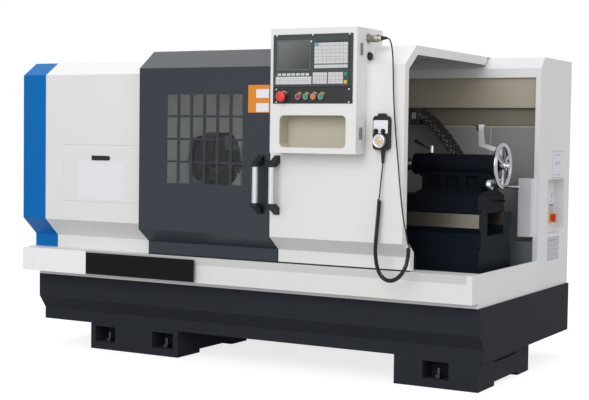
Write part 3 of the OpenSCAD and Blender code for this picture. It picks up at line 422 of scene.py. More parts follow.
# Radius of the folds and broken edges, in millimetres
EDGE_ROUND = [
    (3.0, "base_frame tailstock_base carriage headstock clamp_lever pendant_body"),
    (2.0, "chip_tray rear_cabinet chuck left_brackets right_brackets"),
    (1.0, "front_boards left_door estop access_latch switch_plate handwheel pendant_socket"),
    (1.2, "headstock_cover end_cover turret right_door control_box control_door"),
    (2.5, "terminal_box bed tailstock_body cross_slide turret_base"),
    (0.8, "cnc_panel"),
    (1.5, "quill switch_knob pendant_wheel"),
]

WELD_REACH = 0.01 * MM
FOLD_ANGLE = radians(34)  # only edges that turn more than this are rounded
SHARP_ANGLE = radians(32)  # only edges that turn more than this are shaded sharp


def dress_nodes():
    """Gives every solid of the frame its finish, and rounds the edges of those that have sharp ones."""
    for surface, names in NODE_FINISH:
        for name in names.split():
            slots = nodes[name].data.materials
            slots.clear()
            slots.append(surface)
    for radius, names in EDGE_ROUND:
        for name in names.split():
            weld = nodes[name].modifiers.new("weld", "WELD")
            weld.merge_threshold = WELD_REACH
            edge = nodes[name].modifiers.new("edge", "BEVEL")
            edge.width = radius * MM
            edge.segments = 2
            edge.limit_method = "ANGLE"
            edge.angle_limit = FOLD_ANGLE
            edge.harden_normals = True


# Forms

def add_object(name, data):
    """A new object in the scene."""
    made = bpy.data.objects.new(name, data)
    scene.collection.objects.link(made)
    return made


def piece(name, form, body, slot, *surfaces):
    """A finished mesh that moves with a body. Faces take the surfaces by their material number."""
    bmesh.ops.recalc_face_normals(form, faces=form.faces)
    mesh = bpy.data.meshes.new(name)
    form.to_mesh(mesh)
    form.free()
    mesh.shade_smooth()
    mesh.set_sharp_from_angle(angle=SHARP_ANGLE)
    for surface in surfaces:
        mesh.materials.append(surface)
    made = add_object(name, mesh)
    if body:
        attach(made, body)
    return made


def bridge(form, rings, material=0, caps=True):
    """Skins a row of rings of corners. A ring of one corner is a tip. The end rings get flat caps."""
    skins = []
    for ring, other in zip(rings, rings[1:]):
        for i in range(max(len(ring), len(other))):
            corners = [ring[i % len(ring)], ring[(i + 1) % len(ring)],
                       other[(i + 1) % len(other)], other[i % len(other)]]
            skins.append(form.faces.new(list(dict.fromkeys(corners))))
    if caps:
        skins += [form.faces.new(ring) for ring in (rings[0], rings[-1]) if len(ring) > 2]
    for skin in skins:
        skin.material_index = material


def raised(form, facing, place, points):
    """Corners at points (across, up, out) in millimetres from a place on a face."""
    across, up, out = facing
    return [form.verts.new(place + (x * across + y * up + z * out) * MM) for x, y, z in points]


CORNER_STEPS = 3


def rounded(width, height, corner):
    """The outline of a rectangle with round corners."""
    points = []
    for turn, (side, rise) in enumerate(((1, 1), (-1, 1), (-1, -1), (1, -1))):
        middle = (side * (width / 2 - corner), rise * (height / 2 - corner))
        for step in range(CORNER_STEPS + 1):
            angle = radians(90 * (turn + step / CORNER_STEPS))
            points.append((middle[0] + corner * cos(angle), middle[1] + corner * sin(angle)))
    return points


def outline_ring(form, facing, place, outline, out):
    """A ring of corners on an outline, out in millimetres from a face."""
    return raised(form, facing, place, [(x, y, out) for x, y in outline])


def circle(radius, out, sides):
    """The corners of a circle, out in millimetres from a face. Radius 0 gives one corner."""
    angles = [2 * pi * i / sides for i in range(sides if radius else 1)]
    return [(radius * cos(angle), radius * sin(angle), out) for angle in angles]


def stacked(form, facing, place, width, height, corner, profile, material=0):
    """Outlines with round corners, skinned one on another. profile holds (out, inset) in millimetres."""
    rings = []
    for out, inset in profile:
        outline = rounded(width - 2 * inset, height - 2 * inset, corner)
        rings.append(outline_ring(form, facing, place, outline, out))
    bridge(form, rings, material)


def plate(form, facing, place, width, height, thick, edge, corner, material=0):
    """A flat plate on a face, with round corners and a broken front edge."""
    profile = [(0, 0), (thick - edge, 0), (thick, edge)]
    stacked(form, facing, place, width, height, corner, profile, material)


def lathe(form, facing, place, profile, sides=20, material=0, ring=False):
    """A turned form on a face. profile holds (radius, out) in millimetres, radius 0 for a tip.
    A ring's profile closes on itself."""
    rings = [raised(form, facing, place, circle(radius, out, sides)) for radius, out in profile]
    bridge(form, rings + rings[:1] if ring else rings, material, caps=not ring)


# Profiles of screw heads, as shares of the head's radius and height
PAN_HEAD = [(1, 0), (1, 0.35), (0.86, 0.8), (0.52, 1)]
PAN_SOCKET = [(0.46, 0), (0.46, 0.14), (0.30, 0.14), (0.30, 0.02)]
PAN_SOCKET_RISE = 0.92
CAP_HEAD = [(1, 0), (1, 0.86), (0.9, 1), (0.56, 1), (0.5, 0.4), (0, 0.4)]


def scaled(profile, radius, height):
    """A profile of shares at a real size."""
    return [(share * radius, rise * height) for share, rise in profile]


def pan_screw(form, facing, place, radius, height):
    """A domed screw head with a hexagon socket."""
    lathe(form, facing, place, scaled(PAN_HEAD, radius, height), 20)
    lathe(form, facing, place + facing[2] * PAN_SOCKET_RISE * height * MM,
          scaled(PAN_SOCKET, radius, height), 6)


def cap_screw(form, facing, place, radius, height):
    """A cylinder screw head with a deep socket."""
    lathe(form, facing, place, scaled(CAP_HEAD, radius, height), 24)


ARC_STEPS = 12


def arc_plate(form, facing, place, inner, outer, start, end, thick, material=0):
    """A flat plate in the form of an arc, from one angle to another, in degrees."""
    section = [(inner, 0), (outer, 0), (outer, thick), (inner, thick)]
    rings = []
    for step in range(ARC_STEPS + 1):
        angle = radians(start + (end - start) * step / ARC_STEPS)
        corners = [(radius * cos(angle), radius * sin(angle), out) for radius, out in section]
        rings.append(raised(form, facing, place, corners))
    bridge(form, rings, material)


# Control panel

# Key fields as in the part: left, drop, width, height, columns, rows and gap from the unit's top left corner
KEY_FIELDS = [(232, 136, 187, 105, 8, 6, 3), (232, 158, 187, 17, 8, 1, 3), (18, 197, 188, 18, 7, 1, 7),
              (10, 237, 206, 38, 10, 2, 2), (224, 236, 81, 57, 4, 3, 3), (311, 236, 83, 57, 4, 3, 3),
              (399, 198, 18, 18, 1, 1, 2), (399, 237, 18, 18, 1, 1, 2)]
KEY_HEIGHT = 2.5
KEY_CORNER = 1.2
KEY_PROFILE = [(0, -0.6), (0.8, -0.5), (KEY_HEIGHT - 0.5, -0.2), (KEY_HEIGHT, 0.4)]  # out and inset
MARK = (0.12, 0.04, 0.3)  # thickness, edge and corner of the print on a key
BACKED_FIELDS = (0, 1, 3, 4, 5)  # the fields that lie on a pale sheet
SHEET_MARGIN = 2
KEY_COLORS = {(0, 0, 5): 1, (6, 0, 0): 2, (7, 0, 0): 3}  # surface by field, column and row


def key_mark(form, place, width, height, kind):
    """A small print on a key: a bar, two bars, a dot or a corner."""
    face = place + FRONT[2] * KEY_HEIGHT * MM
    size = min(width, height)
    if kind == 0:
        plate(form, FRONT, face, 0.46 * width, 0.12 * size, *MARK)
    elif kind == 1:
        for side in (-1, 1):
            bar = face + FRONT[1] * side * 0.14 * size * MM
            plate(form, FRONT, bar, 0.42 * width, 0.10 * size, *MARK)
    elif kind == 2:
        lathe(form, FRONT, face, [(0.14 * size, 0), (0.14 * size, 0.08), (0.11 * size, 0.12)], 12)
    else:
        plate(form, FRONT, face, 0.11 * size, 0.44 * size, *MARK)
        plate(form, FRONT, face + FRONT[0] * 0.14 * width * MM, 0.16 * width, 0.10 * size, *MARK)


def panel_keys():
    """The keys of the control panel, with a small print on each."""
    caps = bmesh.new()
    marks = bmesh.new()
    sheets = bmesh.new()
    for field, (left, drop, width, height, columns, rows, gap) in enumerate(KEY_FIELDS):
        wide = width / columns
        high = height / rows
        if field in BACKED_FIELDS:
            middle = unit_corner + Vector((left + width / 2, 0, height / 2 - drop)) * MM
            plate(sheets, FRONT, middle, width + SHEET_MARGIN, height + SHEET_MARGIN, 0.4, 0.1, 1.5)
        for i in range(columns):
            for k in range(rows):
                place = unit_corner + Vector((left + (i + 0.5) * wide, 0, (k + 0.5) * high - drop)) * MM
                size = (wide - gap, high - gap)
                stacked(caps, FRONT, place, *size, KEY_CORNER, KEY_PROFILE, KEY_COLORS.get((field, i, k), 0))
                key_mark(marks, place, *size, (2 * i + 3 * k + field) % 4)
    made = piece("key_caps", caps, "control_door", "key_grey",
                 key_grey, key_blue, green_plastic, yellow_plastic)
    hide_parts("keys")
    piece("key_marks", marks, "control_door", "panel_grey", mark_grey)
    piece("key_sheets", sheets, "control_door", "key_grey", sheet_grey)


FRAME_PROFILE = [(0, -1), (0, 0.6), (1.5, 1.6), (4, 1.6), (5, 0.6), (5, -1)]  # growth and out
FRAME_CORNER = 2


def screen_frame():
    """The bevelled frame round the screen."""
    form = bmesh.new()
    low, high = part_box("screen")
    middle = front_middle("screen", panel_low.y)
    width, height = (high.x - low.x) / MM, (high.z - low.z) / MM
    rings = []
    for grow, out in FRAME_PROFILE:
        outline = rounded(width + 2 * grow, height + 2 * grow, FRAME_CORNER + grow)
        rings.append(outline_ring(form, FRONT, middle, outline, out))
    bridge(form, rings + rings[:1], caps=False)
    piece("screen_frame", form, "control_door", "panel_grey", frame_grey)


# Fittings of the panel, in millimetres. Places are along and down from the unit's top left corner.
STRIP_PLACE, STRIP_SIZE = (311, 25), (149, 13)
STRIP_END_PLACE, STRIP_END_SIZE = (405, 21.5), (35, 17)
SCREW_LEFT, SCREW_RIGHT = 20.5 * MM, 20 * MM  # in from the panel's sides
SCREW_TOP, SCREW_LEDGE, SCREW_FOOT = 4.5 * MM, 71 * MM, 7 * MM  # under the panel's top, and over its foot
LAMP_PLACE = (213, 24)
LAMP_PROFILE = [(5, 0), (5, 1.2), (3.9, 1.6), (3.6, 2.6), (2.2, 3.6), (0, 4.0)]
# Tan arcs at the upper right of each button: inner radius by button, width and span in degrees
ARC_RADIUS = {"estop": 24, "button_red": 17.5, "button_green": 17.5, "button_orange": 17.5,
                 "button_start": 17.5}
ARC_WIDTH = 5.5
ARC_SPAN = (40, 104)


def on_unit(along, drop):
    """A place on the key unit's face."""
    return unit_corner + Vector((along, 0, -drop)) * MM


def panel_fittings():
    """Screws, status strip, lamp and the arcs beside the buttons."""
    form = bmesh.new()
    left, right = panel_low.x + SCREW_LEFT, panel_high.x - SCREW_RIGHT
    middle = (left + right) / 2
    top, ledge, foot = panel_high.z - SCREW_TOP, panel_low.z + SCREW_LEDGE, panel_low.z + SCREW_FOOT
    for x, z in [(left, top), (middle, top), (right, top), (left, ledge), (right, ledge), (left, foot),
                 (right, foot)]:
        pan_screw(form, FRONT, Vector((x, plate_face, z)), 4.0, 2.4)
    plate(form, FRONT, on_unit(*STRIP_PLACE), *STRIP_SIZE, 0.5, 0.15, 1.5, 1)
    plate(form, FRONT, on_unit(*STRIP_END_PLACE), *STRIP_END_SIZE, 0.9, 0.3, 2.0, 1)
    lathe(form, FRONT, on_unit(*LAMP_PLACE), LAMP_PROFILE, 20, 2)
    for node, radius in ARC_RADIUS.items():
        arc_plate(form, FRONT, front_middle(node, plate_face), radius, radius + ARC_WIDTH, *ARC_SPAN,
                  0.25, 3)
    piece("panel_fittings", form, "control_door", "panel_grey", zinc, dark_glass, lamp_cream, arc_tan)


DIAL_SIZE = (79, 65)
DIAL_RISE = 22.5 * MM  # of the sheet's middle over the knobs
DIAL_THICK = 0.2
TICK_REACH = 15 * MM


def pendant_dial():
    """The pendant's pale front sheet, with ticks round the knobs."""
    form = bmesh.new()
    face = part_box("pendant_wheel")[1].y
    sheet = front_middle("pendant_body", face)
    sheet.z = middle_of("axis_knob").z + DIAL_RISE
    plate(form, FRONT, sheet, *DIAL_SIZE, DIAL_THICK, 0.05, 6.0, 0)
    for node in ("axis_knob", "step_knob"):
        centre = front_middle(node, face - DIAL_THICK * MM)
        for angle in (radians(turn) for turn in range(30, 180, 30)):
            spot = centre + (FRONT[0] * cos(angle) + FRONT[1] * sin(angle)) * TICK_REACH
            lathe(form, FRONT, spot, [(1.1, 0), (1.1, 0.06), (0.8, 0.1)], 8, 1)
    piece("pendant_sheet", form, "right_door", "panel_grey", paper, bolt_steel)


# Profiles on the pendant's hand wheel: share of its radius, and out in millimetres
WHEEL_RIM = [(0.92, -0.5), (0.92, 0.7), (0.87, 1.1), (0.74, 1.1), (0.70, 0.4), (0.70, -0.5)]
WHEEL_FACE = [(0.70, -0.5), (0.70, 0.4), (0.30, 0.5), (0, 0.5)]
WHEEL_DIMPLE = [(0.20, 0), (0.18, 0.8), (0.13, 0.9), (0.08, 0.4), (0, 0.2)]
DIMPLE_SHARE = 0.32
DIMPLE_OUT = 0.4


def pendant_wheel_face():
    """The bright rim, warm face and finger dimple of the pendant's hand wheel."""
    form = bmesh.new()
    low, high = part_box("pendant_wheel")
    middle = front_middle("pendant_wheel", low.y)
    radius = (high.x - low.x) / 2 / MM
    lathe(form, FRONT, middle, scaled(WHEEL_RIM, radius, 1), 48, 0, ring=True)
    lathe(form, FRONT, middle, scaled(WHEEL_FACE, radius, 1), 48, 1)
    reach = DIMPLE_SHARE * radius
    dimple = middle + ((FRONT[0] + FRONT[1]) * reach + FRONT[2] * DIMPLE_OUT) * MM
    lathe(form, FRONT, dimple, scaled(WHEEL_DIMPLE, radius, 1), 24, 0)
    piece("pendant_wheel_face", form, "pendant_wheel", "aluminium", chrome, face_brass)


# Plates, papers and screws

PAPER_SIZE = (337, 216)
PAPER_PLACE = Vector((278.5, 0, 123)) * MM  # from the access panel's lower left corner


def access_paper():
    """A bare sheet of paper on the access panel."""
    form = bmesh.new()
    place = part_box("access_panel")[0] + PAPER_PLACE
    place.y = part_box("headstock_cover")[0].y
    plate(form, FRONT, place, *PAPER_SIZE, 0.25, 0.05, 2.0, 0)
    piece("access_paper", form, "access_panel", "white_paint", paper)


SIGN_SIZE = (131, 145)
SIGN_SHIFT = 17.5 * MM  # to the left of the door's handle
SIGN_RISE = 867.5 * MM  # over the tray's ledge
FIELD_SIZE = (77, 46)
FIELD_ALONG = 22
FIELD_RISES = (27.5, -45.5)


def door_sign():
    """The orange sign on the left door, with two plain pale fields."""
    form = bmesh.new()
    handle = middle_of("left_handle")
    place = Vector((handle.x - SIGN_SHIFT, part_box("left_door")[0].y, ledge_top + SIGN_RISE))
    plate(form, FRONT, place, *SIGN_SIZE, 1.0, 0.3, 1.5, 0)
    for rise in FIELD_RISES:
        field = place + (FRONT[0] * FIELD_ALONG + FRONT[1] * rise + FRONT[2]) * MM
        plate(form, FRONT, field, *FIELD_SIZE, 0.2, 0.05, 1.0, 1)
    piece("door_sign", form, "left_door", "orange_plastic", plate_orange, paper)


# Cover sheets of the back wall: behind the cabinet's front, over its foot, and from the recess's ends
SHEETS_BACK, SHEETS_SILL, SHEETS_TOP = 53 * MM, 282 * MM, 914 * MM
SHEETS_LEFT, SHEETS_SEAM = 30 * MM, 278 * MM
SHEETS_GAP = 3 * MM
TRIM = (2.2, 0.8, 1.0, 1)  # thickness, edge, corner and surface of a trim strip
TRIM_WIDTH = 5
TRIM_END = 4  # by which the upper strip is shorter at each end


def wall_sheets():
    """The two cover sheets in the recess of the back wall, with trim strips over them and between them. Their
    grey is partly the wall's own and partly painted shade, and the trims' lighter grey is a painted
    highlight.
    """
    form = bmesh.new()
    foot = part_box("rear_cabinet")[0]
    recess, sill, top = foot.y + SHEETS_BACK, foot.z + SHEETS_SILL, foot.z + SHEETS_TOP
    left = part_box("headstock_cover")[1].x + SHEETS_LEFT
    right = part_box("terminal_box")[1].x
    seam = right - SHEETS_SEAM
    height = (top - sill) / MM
    middle = (sill + top) / 2
    for start, end in ((left, seam - SHEETS_GAP), (seam + SHEETS_GAP, right - 2 * SHEETS_GAP)):
        place = Vector(((start + end) / 2, recess, middle))
        plate(form, FRONT, place, (end - start) / MM, height, 1.5, 0.6, 4.0)
    over = Vector(((left + right) / 2, recess, top + SHEETS_GAP))
    plate(form, FRONT, over, (right - left) / MM - 2 * TRIM_END, TRIM_WIDTH, *TRIM)
    plate(form, FRONT, Vector((seam, recess, middle)), TRIM_WIDTH, height, *TRIM)
    piece("wall_sheets", form, "machine", "white_paint", wall_sheet_shade, trim_shade_and_highlight)


# Plates on the cabinet's side: back, up, width, height, surface, line and fields (along, rise, width, height)
SIDE_PLATES = [
    (318, 705.5, 182, 155, 0, 2,
     [(0, 54, 110, 6), (-24, 6, 20, 22), (20, 6, 20, 22), (0, -60, 120, 5)]),
    (275, 224.5, 202, 131, 1, 3,
     [(-12, 48, 120, 8), (0, 22, 160, 3), (0, -8, 160, 3), (0, -36, 160, 3), (24, -7, 3, 60)]),
]
PLATE_BORDER = 8


def side_plates():
    """Two bare plates on the cabinet's right side, each with a plain border and fields."""
    form = bmesh.new()
    low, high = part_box("rear_cabinet")
    for y, z, width, height, surface, line, fields in SIDE_PLATES:
        place = Vector((high.x, low.y + y * MM, low.z + z * MM))
        plate(form, RIGHT, place, width, height, 0.5, 0.15, 3.0, line)
        plate(form, RIGHT, place, width - PLATE_BORDER, height - PLATE_BORDER, 0.55, 0.05, 2.0, surface)
        for along, rise, wide, tall in fields:
            spot = place + (RIGHT[0] * along + RIGHT[1] * rise) * MM
            plate(form, RIGHT, spot, wide, tall, 0.6, 0.05, 1.0, line)
    piece("side_plates", form, "machine", "grey_paint", paper, plate_grey, line_grey, sheet_grey)


# Cards beside the main switch: their middles over the switch's, sizes, and fields on the upper card
CARD_SHIFT = 9
UPPER_RISE, UPPER_SIZE = 128, (78, 90)
LOWER_RISE, LOWER_SIZE = 41, (78, 76)
CARD_THICK = 0.3
CARD_FIELDS = [(10, 16, 13, 10, 2), (8, -4, 14, 20, 3), (-4, -30, 34, 8, 1)]  # along, rise, size and surface
LOWER_FIELD = (33, (76, 8))  # rise and size


def pocket_cards():
    """Two bare cards beside the main switch, with plain fields of colour."""
    form = bmesh.new()
    middle = middle_of("switch_plate")
    middle.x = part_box("switch_plate")[0].x
    upper, lower = (middle + (RIGHT[0] * CARD_SHIFT + RIGHT[1] * rise) * MM
                    for rise in (UPPER_RISE, LOWER_RISE))
    plate(form, RIGHT, upper, *UPPER_SIZE, CARD_THICK, 0.05, 2.0, 0)
    plate(form, RIGHT, lower, *LOWER_SIZE, CARD_THICK, 0.05, 2.0, 1)
    face = RIGHT[2] * CARD_THICK
    for along, rise, width, height, material in CARD_FIELDS:
        spot = upper + (RIGHT[0] * along + RIGHT[1] * rise + face) * MM
        plate(form, RIGHT, spot, width, height, 0.1, 0.03, 1.0, material)
    rise, size = LOWER_FIELD
    plate(form, RIGHT, lower + (RIGHT[1] * rise + face) * MM, *size, 0.1, 0.03, 1.0, 4)
    piece("pocket_cards", form, "machine", "white_paint", paper, plate_grey, red_plastic, key_blue, mark_grey)


TRAY_SCREWS = (0.04, 0.27, 0.5, 0.73, 0.96)  # shares of the base's length
TRAY_SCREW_DROP = 8 * MM
BACK_COVERS = 3
QUARTERS = (0, 0.25, 0.5, 0.75, 1)


def base_screws():
    """Screws under the tray and along the seams of the back."""
    form = bmesh.new()
    low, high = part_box("base_frame")
    length = high.x - low.x
    for share in TRAY_SCREWS:
        place = Vector((low.x + share * length, low.y, high.z - TRAY_SCREW_DROP))
        pan_screw(form, FRONT, place, 7, 4)
    low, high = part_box("rear_cabinet")
    seam, edge, recess, margins = 10 * MM, 30 * MM, 2 * MM, 70 * MM
    cover = (length - margins) / BACK_COVERS
    heights = [low.z + edge + share * (high.z - low.z - 2 * edge) for share in QUARTERS]
    upright = [(column, z) for column in range(BACK_COVERS + 1) for z in heights]
    level = [(column + share, z) for column in range(BACK_COVERS) for z in (heights[0], heights[-1])
             for share in QUARTERS[1:-1]]
    for column, z in upright + level:
        pan_screw(form, BACK, Vector((low.x + seam + column * cover, high.y - recess, z)), 6, 1.8)
    piece("seam_screws", form, "machine", "steel", black_oxide)


# A black strip under each door, as painted shade of the gap over the tray's ledge
GAP_SHADE_HEIGHT = 7.4
GAP_SHADE_RISE = 4.3 * MM  # of its middle over the tray's ledge


def door_gap_shades():
    """A black strip in the rubber finish along the lower edge of each door, just clear of the tray's ledge:
    painted shade for the dark gap under the door.
    """
    for door in ("left_door", "right_door"):
        form = bmesh.new()
        low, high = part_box(door)
        place = front_middle(door, low.y + DOOR_INSET + SKIN)
        place.z = ledge_top + GAP_SHADE_RISE
        plate(form, FRONT, place, (high.x - low.x) / MM, GAP_SHADE_HEIGHT, 2.0, 0.6, 1.5)
        piece(f"{door}_gap_shade", form, door, "rubber", rubber)


# Control box's hinges, in millimetres from a hinge's lower front corner: back, up and out
HINGE_LENGTH = 60
LEAF_SCREWS = [(18, rise, 2) for rise in (10, 30, 50)]
# Black rings in the knuckle gaps: painted shade.
KNUCKLE_GAP_SHADES = [(4.5, rise, 5.5) for rise in (19, 39)]
GAP_SHADE_PROFILE = [(4.5, 0), (4.8, 0.3), (4.8, 1.7), (4.5, 2)]


def hinge_details():
    """Screws in the leaves of the control box's hinges, and black rings as painted shade in the gaps between
    their knuckles.
    """
    form = bmesh.new()
    low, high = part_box("control_hinges")
    for start in (low.z, high.z - HINGE_LENGTH * MM):
        corner = Vector((low.x, low.y, start))
        for back, rise, out in LEAF_SCREWS:
            pan_screw(form, RIGHT, corner + Vector((out, back, rise)) * MM, 2.6, 1.2)
        for back, rise, out in KNUCKLE_GAP_SHADES:
            lathe(form, UP, corner + Vector((out, back, rise)) * MM, GAP_SHADE_PROFILE, 20, 1)
    piece("hinge_details", form, "right_door", "steel", hinge_steel, black_oxide)


FACE_SCREW_SHARE = 0.78  # of the chuck's radius
JAW_STEPS = [(22, 124), (48, 95)]  # out from the chuck's face, and from its axis


def spun(turn):
    """The facing to the right, turned round the spindle by an angle in degrees."""
    spin = Matrix.Rotation(radians(turn), 3, "X")
    return tuple(spin @ side for side in RIGHT)


def chuck_screws():
    """Screws in the chuck's face and in the steps of each jaw."""
    low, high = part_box("chuck")
    centre = Vector((high.x, axis_middle.y, axis_middle.z))
    radius = (high.z - low.z) / 2
    form = bmesh.new()
    for facing in (spun(60), spun(180), spun(300)):
        cap_screw(form, facing, centre + facing[1] * FACE_SCREW_SHARE * radius, 9, 5)
    piece("chuck_screws", form, "spindle", "steel", bolt_steel)
    for number, facing in enumerate((spun(0), spun(120), spun(240)), 1):
        form = bmesh.new()
        for out, reach in JAW_STEPS:
            cap_screw(form, facing, centre + (facing[2] * out + facing[1] * reach) * MM, 8, 6)
        piece(f"jaw_{number}_screws", form, f"jaw_{number}", "steel", bolt_steel)


# Pendant cord

def curve_point(points, index, share):
    """A point on the smooth curve through the points of a route, in the span after index."""
    before = points[max(index - 1, 0)]
    start = points[index]
    end = points[index + 1]
    after = points[min(index + 2, len(points) - 1)]
    return 0.5 * (2 * start + (end - before) * share
                  + (2 * before - 5 * start + 4 * end - after) * share ** 2
                  + (3 * start - before - 3 * end + after) * share ** 3)


def smooth_route(points, steps):
    """The smooth curve through the points of a route, with steps points in each span."""
    spans = range(len(points) - 1)
    return [curve_point(points, i, k / steps) for i in spans for k in range(steps)] + [points[-1]]


def route_length(points):
    """The length of a route."""
    return sum((b - a).length for a, b in zip(points, points[1:]))


def eased(share):
    """A share from 0 to 1 with a soft start and end."""
    share = min(max(share, 0.0), 1.0)
    return share * share * (3 - 2 * share)


def along_route(points, length):
    """The place and direction at a length along a route."""
    index = 0
    while index < len(points) - 2 and length > (points[index + 1] - points[index]).length:
        length -= (points[index + 1] - points[index]).length
        index += 1
    ahead = (points[index + 1] - points[index]).normalized()
    return points[index] + ahead * length, ahead


def helix(points, radius, pitch, turn_points, ramp):
    """A helix round a route. At both ends it leaves the route over one ramp, and starts to turn over the
    next. turn_points is the number of points in a turn."""
    total = route_length(points)
    count = round(total / pitch * turn_points)
    wound = []
    side = Vector((0, 1, 0))
    angle = 0.0
    for k in range(count + 1):
        along = total * k / count
        centre, ahead = along_route(points, along)
        side = (side - ahead * side.dot(ahead)).normalized()
        over = ahead.cross(side)
        nearest = min(along, total - along)
        reach = radius * eased(nearest / ramp)
        angle += 2 * pi / turn_points * eased(nearest / ramp - 1)
        wound.append(centre + reach * (cos(angle) * side + sin(angle) * over))
    return wound


# Route from the box's corner, on the door's face at the tray's ledge, in millimetres
UPPER_ROUTE = [(103, 10, 1167), (122, 2, 1157), (138, -10, 1130), (150, -20, 1080), (156, -24, 1000),
               (162, -24, 860), (174, -24, 710), (190, -24, 560), (206, -24, 410), (224, -24, 280),
               (240, -25, 210), (250, -26, 160)]
COIL_ROUTE = [(250, -26, 160), (257, -28, 125), (255, -30, 85), (244, -31, 40), (222, -32, 0),
              (192, -33, -26), (160, -33, -35), (128, -33, -26), (102, -32, 2), (86, -31, 45), (78, -30, 100),
              (79, -29, 160), (84, -28, 230), (90, -27, 310), (94, -26, 390)]
LOWER_ROUTE = [(94, -26, 390), (96, -22, 430), (99, -19, 480), (103, -18, 520), (105, -18, 545)]
CORD_DIAMETER = 7 * MM
COIL_DIAMETER = 22 * MM
COIL_PITCH = 8 * MM
COIL_RAMP = 18 * MM
COIL_STEPS = 16  # points in a turn
COIL_ROUTE_STEPS = 24  # points in a span of the coil's route
ROUTE_STEPS = 8  # points in a span of the other routes


def pendant_cord():
    """The pendant's cord: straight, curly and straight again, as one line."""
    start = Vector((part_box("control_box")[1].x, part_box("right_door")[0].y, ledge_top))
    upper, coil, lower = ([start + Vector(p) * MM for p in route]
                          for route in (UPPER_ROUTE, COIL_ROUTE, LOWER_ROUTE))
    wound = helix(smooth_route(coil, COIL_ROUTE_STEPS), (COIL_DIAMETER - CORD_DIAMETER) / 2, COIL_PITCH,
                  COIL_STEPS, COIL_RAMP)
    points = smooth_route(upper, ROUTE_STEPS)[:-1] + wound + smooth_route(lower, ROUTE_STEPS)[1:]
    curve = bpy.data.curves.new("pendant_cord_line", "CURVE")
    curve.dimensions = "3D"
    curve.bevel_depth = CORD_DIAMETER / 2
    curve.bevel_resolution = 2
    curve.use_fill_caps = True
    line = curve.splines.new("POLY")
    line.points.add(len(points) - 1)
    for spot, point in zip(line.points, points):
        spot.co = (*point, 1.0)
    line.use_smooth = True
    cord = add_object("pendant_cord_line", curve)
    curve.materials.append(rubber)
    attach(cord, "right_door")
    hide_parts("pendant_cord")


# Lead screw and chain, in millimetres

THREAD_LEAD = 10
THREAD_DEPTH = 3
THREAD_SEAT = 0.4  # by which the thread stands in its core
RIDGE_FOOT = (0.3, 5.7)  # start and end of a ridge at the core
RIDGE_TOP = (1.5, 4.5)
JOURNAL = 24
JOURNAL_EDGE = 1
CORE_OVERLAP = 2  # of the core into each journal
THREAD_SIDES = 24


def thread():
    """The lead screw with its thread between two plain journals."""
    form = bmesh.new()
    low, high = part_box("lead_screw")
    radius = (high.z - low.z) / 2 / MM
    length = (high.x - low.x) / MM
    start = middle_of("lead_screw")
    start.x = low.x
    edge = radius - JOURNAL_EDGE
    journal = [(edge, 0), (radius, JOURNAL_EDGE), (radius, JOURNAL - JOURNAL_EDGE), (edge, JOURNAL)]
    for out in (0, length - JOURNAL):
        lathe(form, RIGHT, start + RIGHT[2] * out * MM, journal, THREAD_SIDES)
    core = radius - THREAD_DEPTH
    lathe(form, RIGHT, start + RIGHT[2] * (JOURNAL - CORE_OVERLAP) * MM,
          [(core, 0), (core, length - 2 * JOURNAL + 2 * CORE_OVERLAP)], THREAD_SIDES)
    seat = core - THREAD_SEAT
    ridge = [(seat, RIDGE_FOOT[0]), (radius, RIDGE_TOP[0]), (radius, RIDGE_TOP[1]), (seat, RIDGE_FOOT[1])]
    turns = int((length - 2 * JOURNAL - 2) / THREAD_LEAD)
    rings = []
    for k in range(turns * THREAD_SIDES + 1):
        angle = 2 * pi * k / THREAD_SIDES
        along = JOURNAL + THREAD_LEAD * k / THREAD_SIDES
        corners = [(r * cos(angle), r * sin(angle), along + shift) for r, shift in ridge]
        rings.append(raised(form, RIGHT, start, corners))
    bridge(form, rings)
    made = piece("lead_screw_thread", form, "lead_screw", "steel", steel)
    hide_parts("lead_screw")


# Chain's line from its start at the bracket, as in the part
CHAIN_ROUTE = [(20, 0), (50, -5), (82, -26), (145, -88), (211, -165), (260, -240), (290, -310), (298, -370),
               (280, -425), (240, -458), (185, -469), (100, -469), (0, -469), (-100, -469), (-189.7, -469)]
CHAIN_LINKS = 27
CHAIN_HALF_WIDTH = 44
CHAIN_HALF_HEIGHT = 23
LINK_GAP = 4
LINK_CHAMFER = (4, 5)  # along and across a link's corners
LINK_SIDE = [(CHAIN_HALF_WIDTH - 6, 1.0), (CHAIN_HALF_WIDTH - 1, 1.0), (CHAIN_HALF_WIDTH, 0.94)]
HUB_PROFILE = [(6, 0), (6, 1.4), (5, 2), (3, 2), (2.6, 1.2), (0, 1.2)]
HUBS = [(1, 7, 5), (-1, 8, -6)]  # which end of a link, in from it, and up
HUB_DEPTH = 2
HUB_PROUD = 1  # on the front only, where there is room
TONGUE_DEPTH = 11
TONGUE_SHARE = 0.6  # of a link's pitch
TONGUE = (26, 6, 1.0, 6.0)  # height, thickness, edge and corner
BAR_LENGTH, BAR_WIDTH, BAR_THICK = 2 * CHAIN_HALF_WIDTH - 10, 9, 4
CHAIN_START = 189.7 * MM  # from the chain's left end to its bracket's middle
CHAIN_DROP = 44 * MM  # from the bracket's top to the chain's line
BRACKET_SIZE = (47, 90)
BRACKET_SHIFT = 0.5 * MM
COVER_SHIFT, COVER_SIZE = 6 * MM, (26, 38)  # of the bracket's small plate


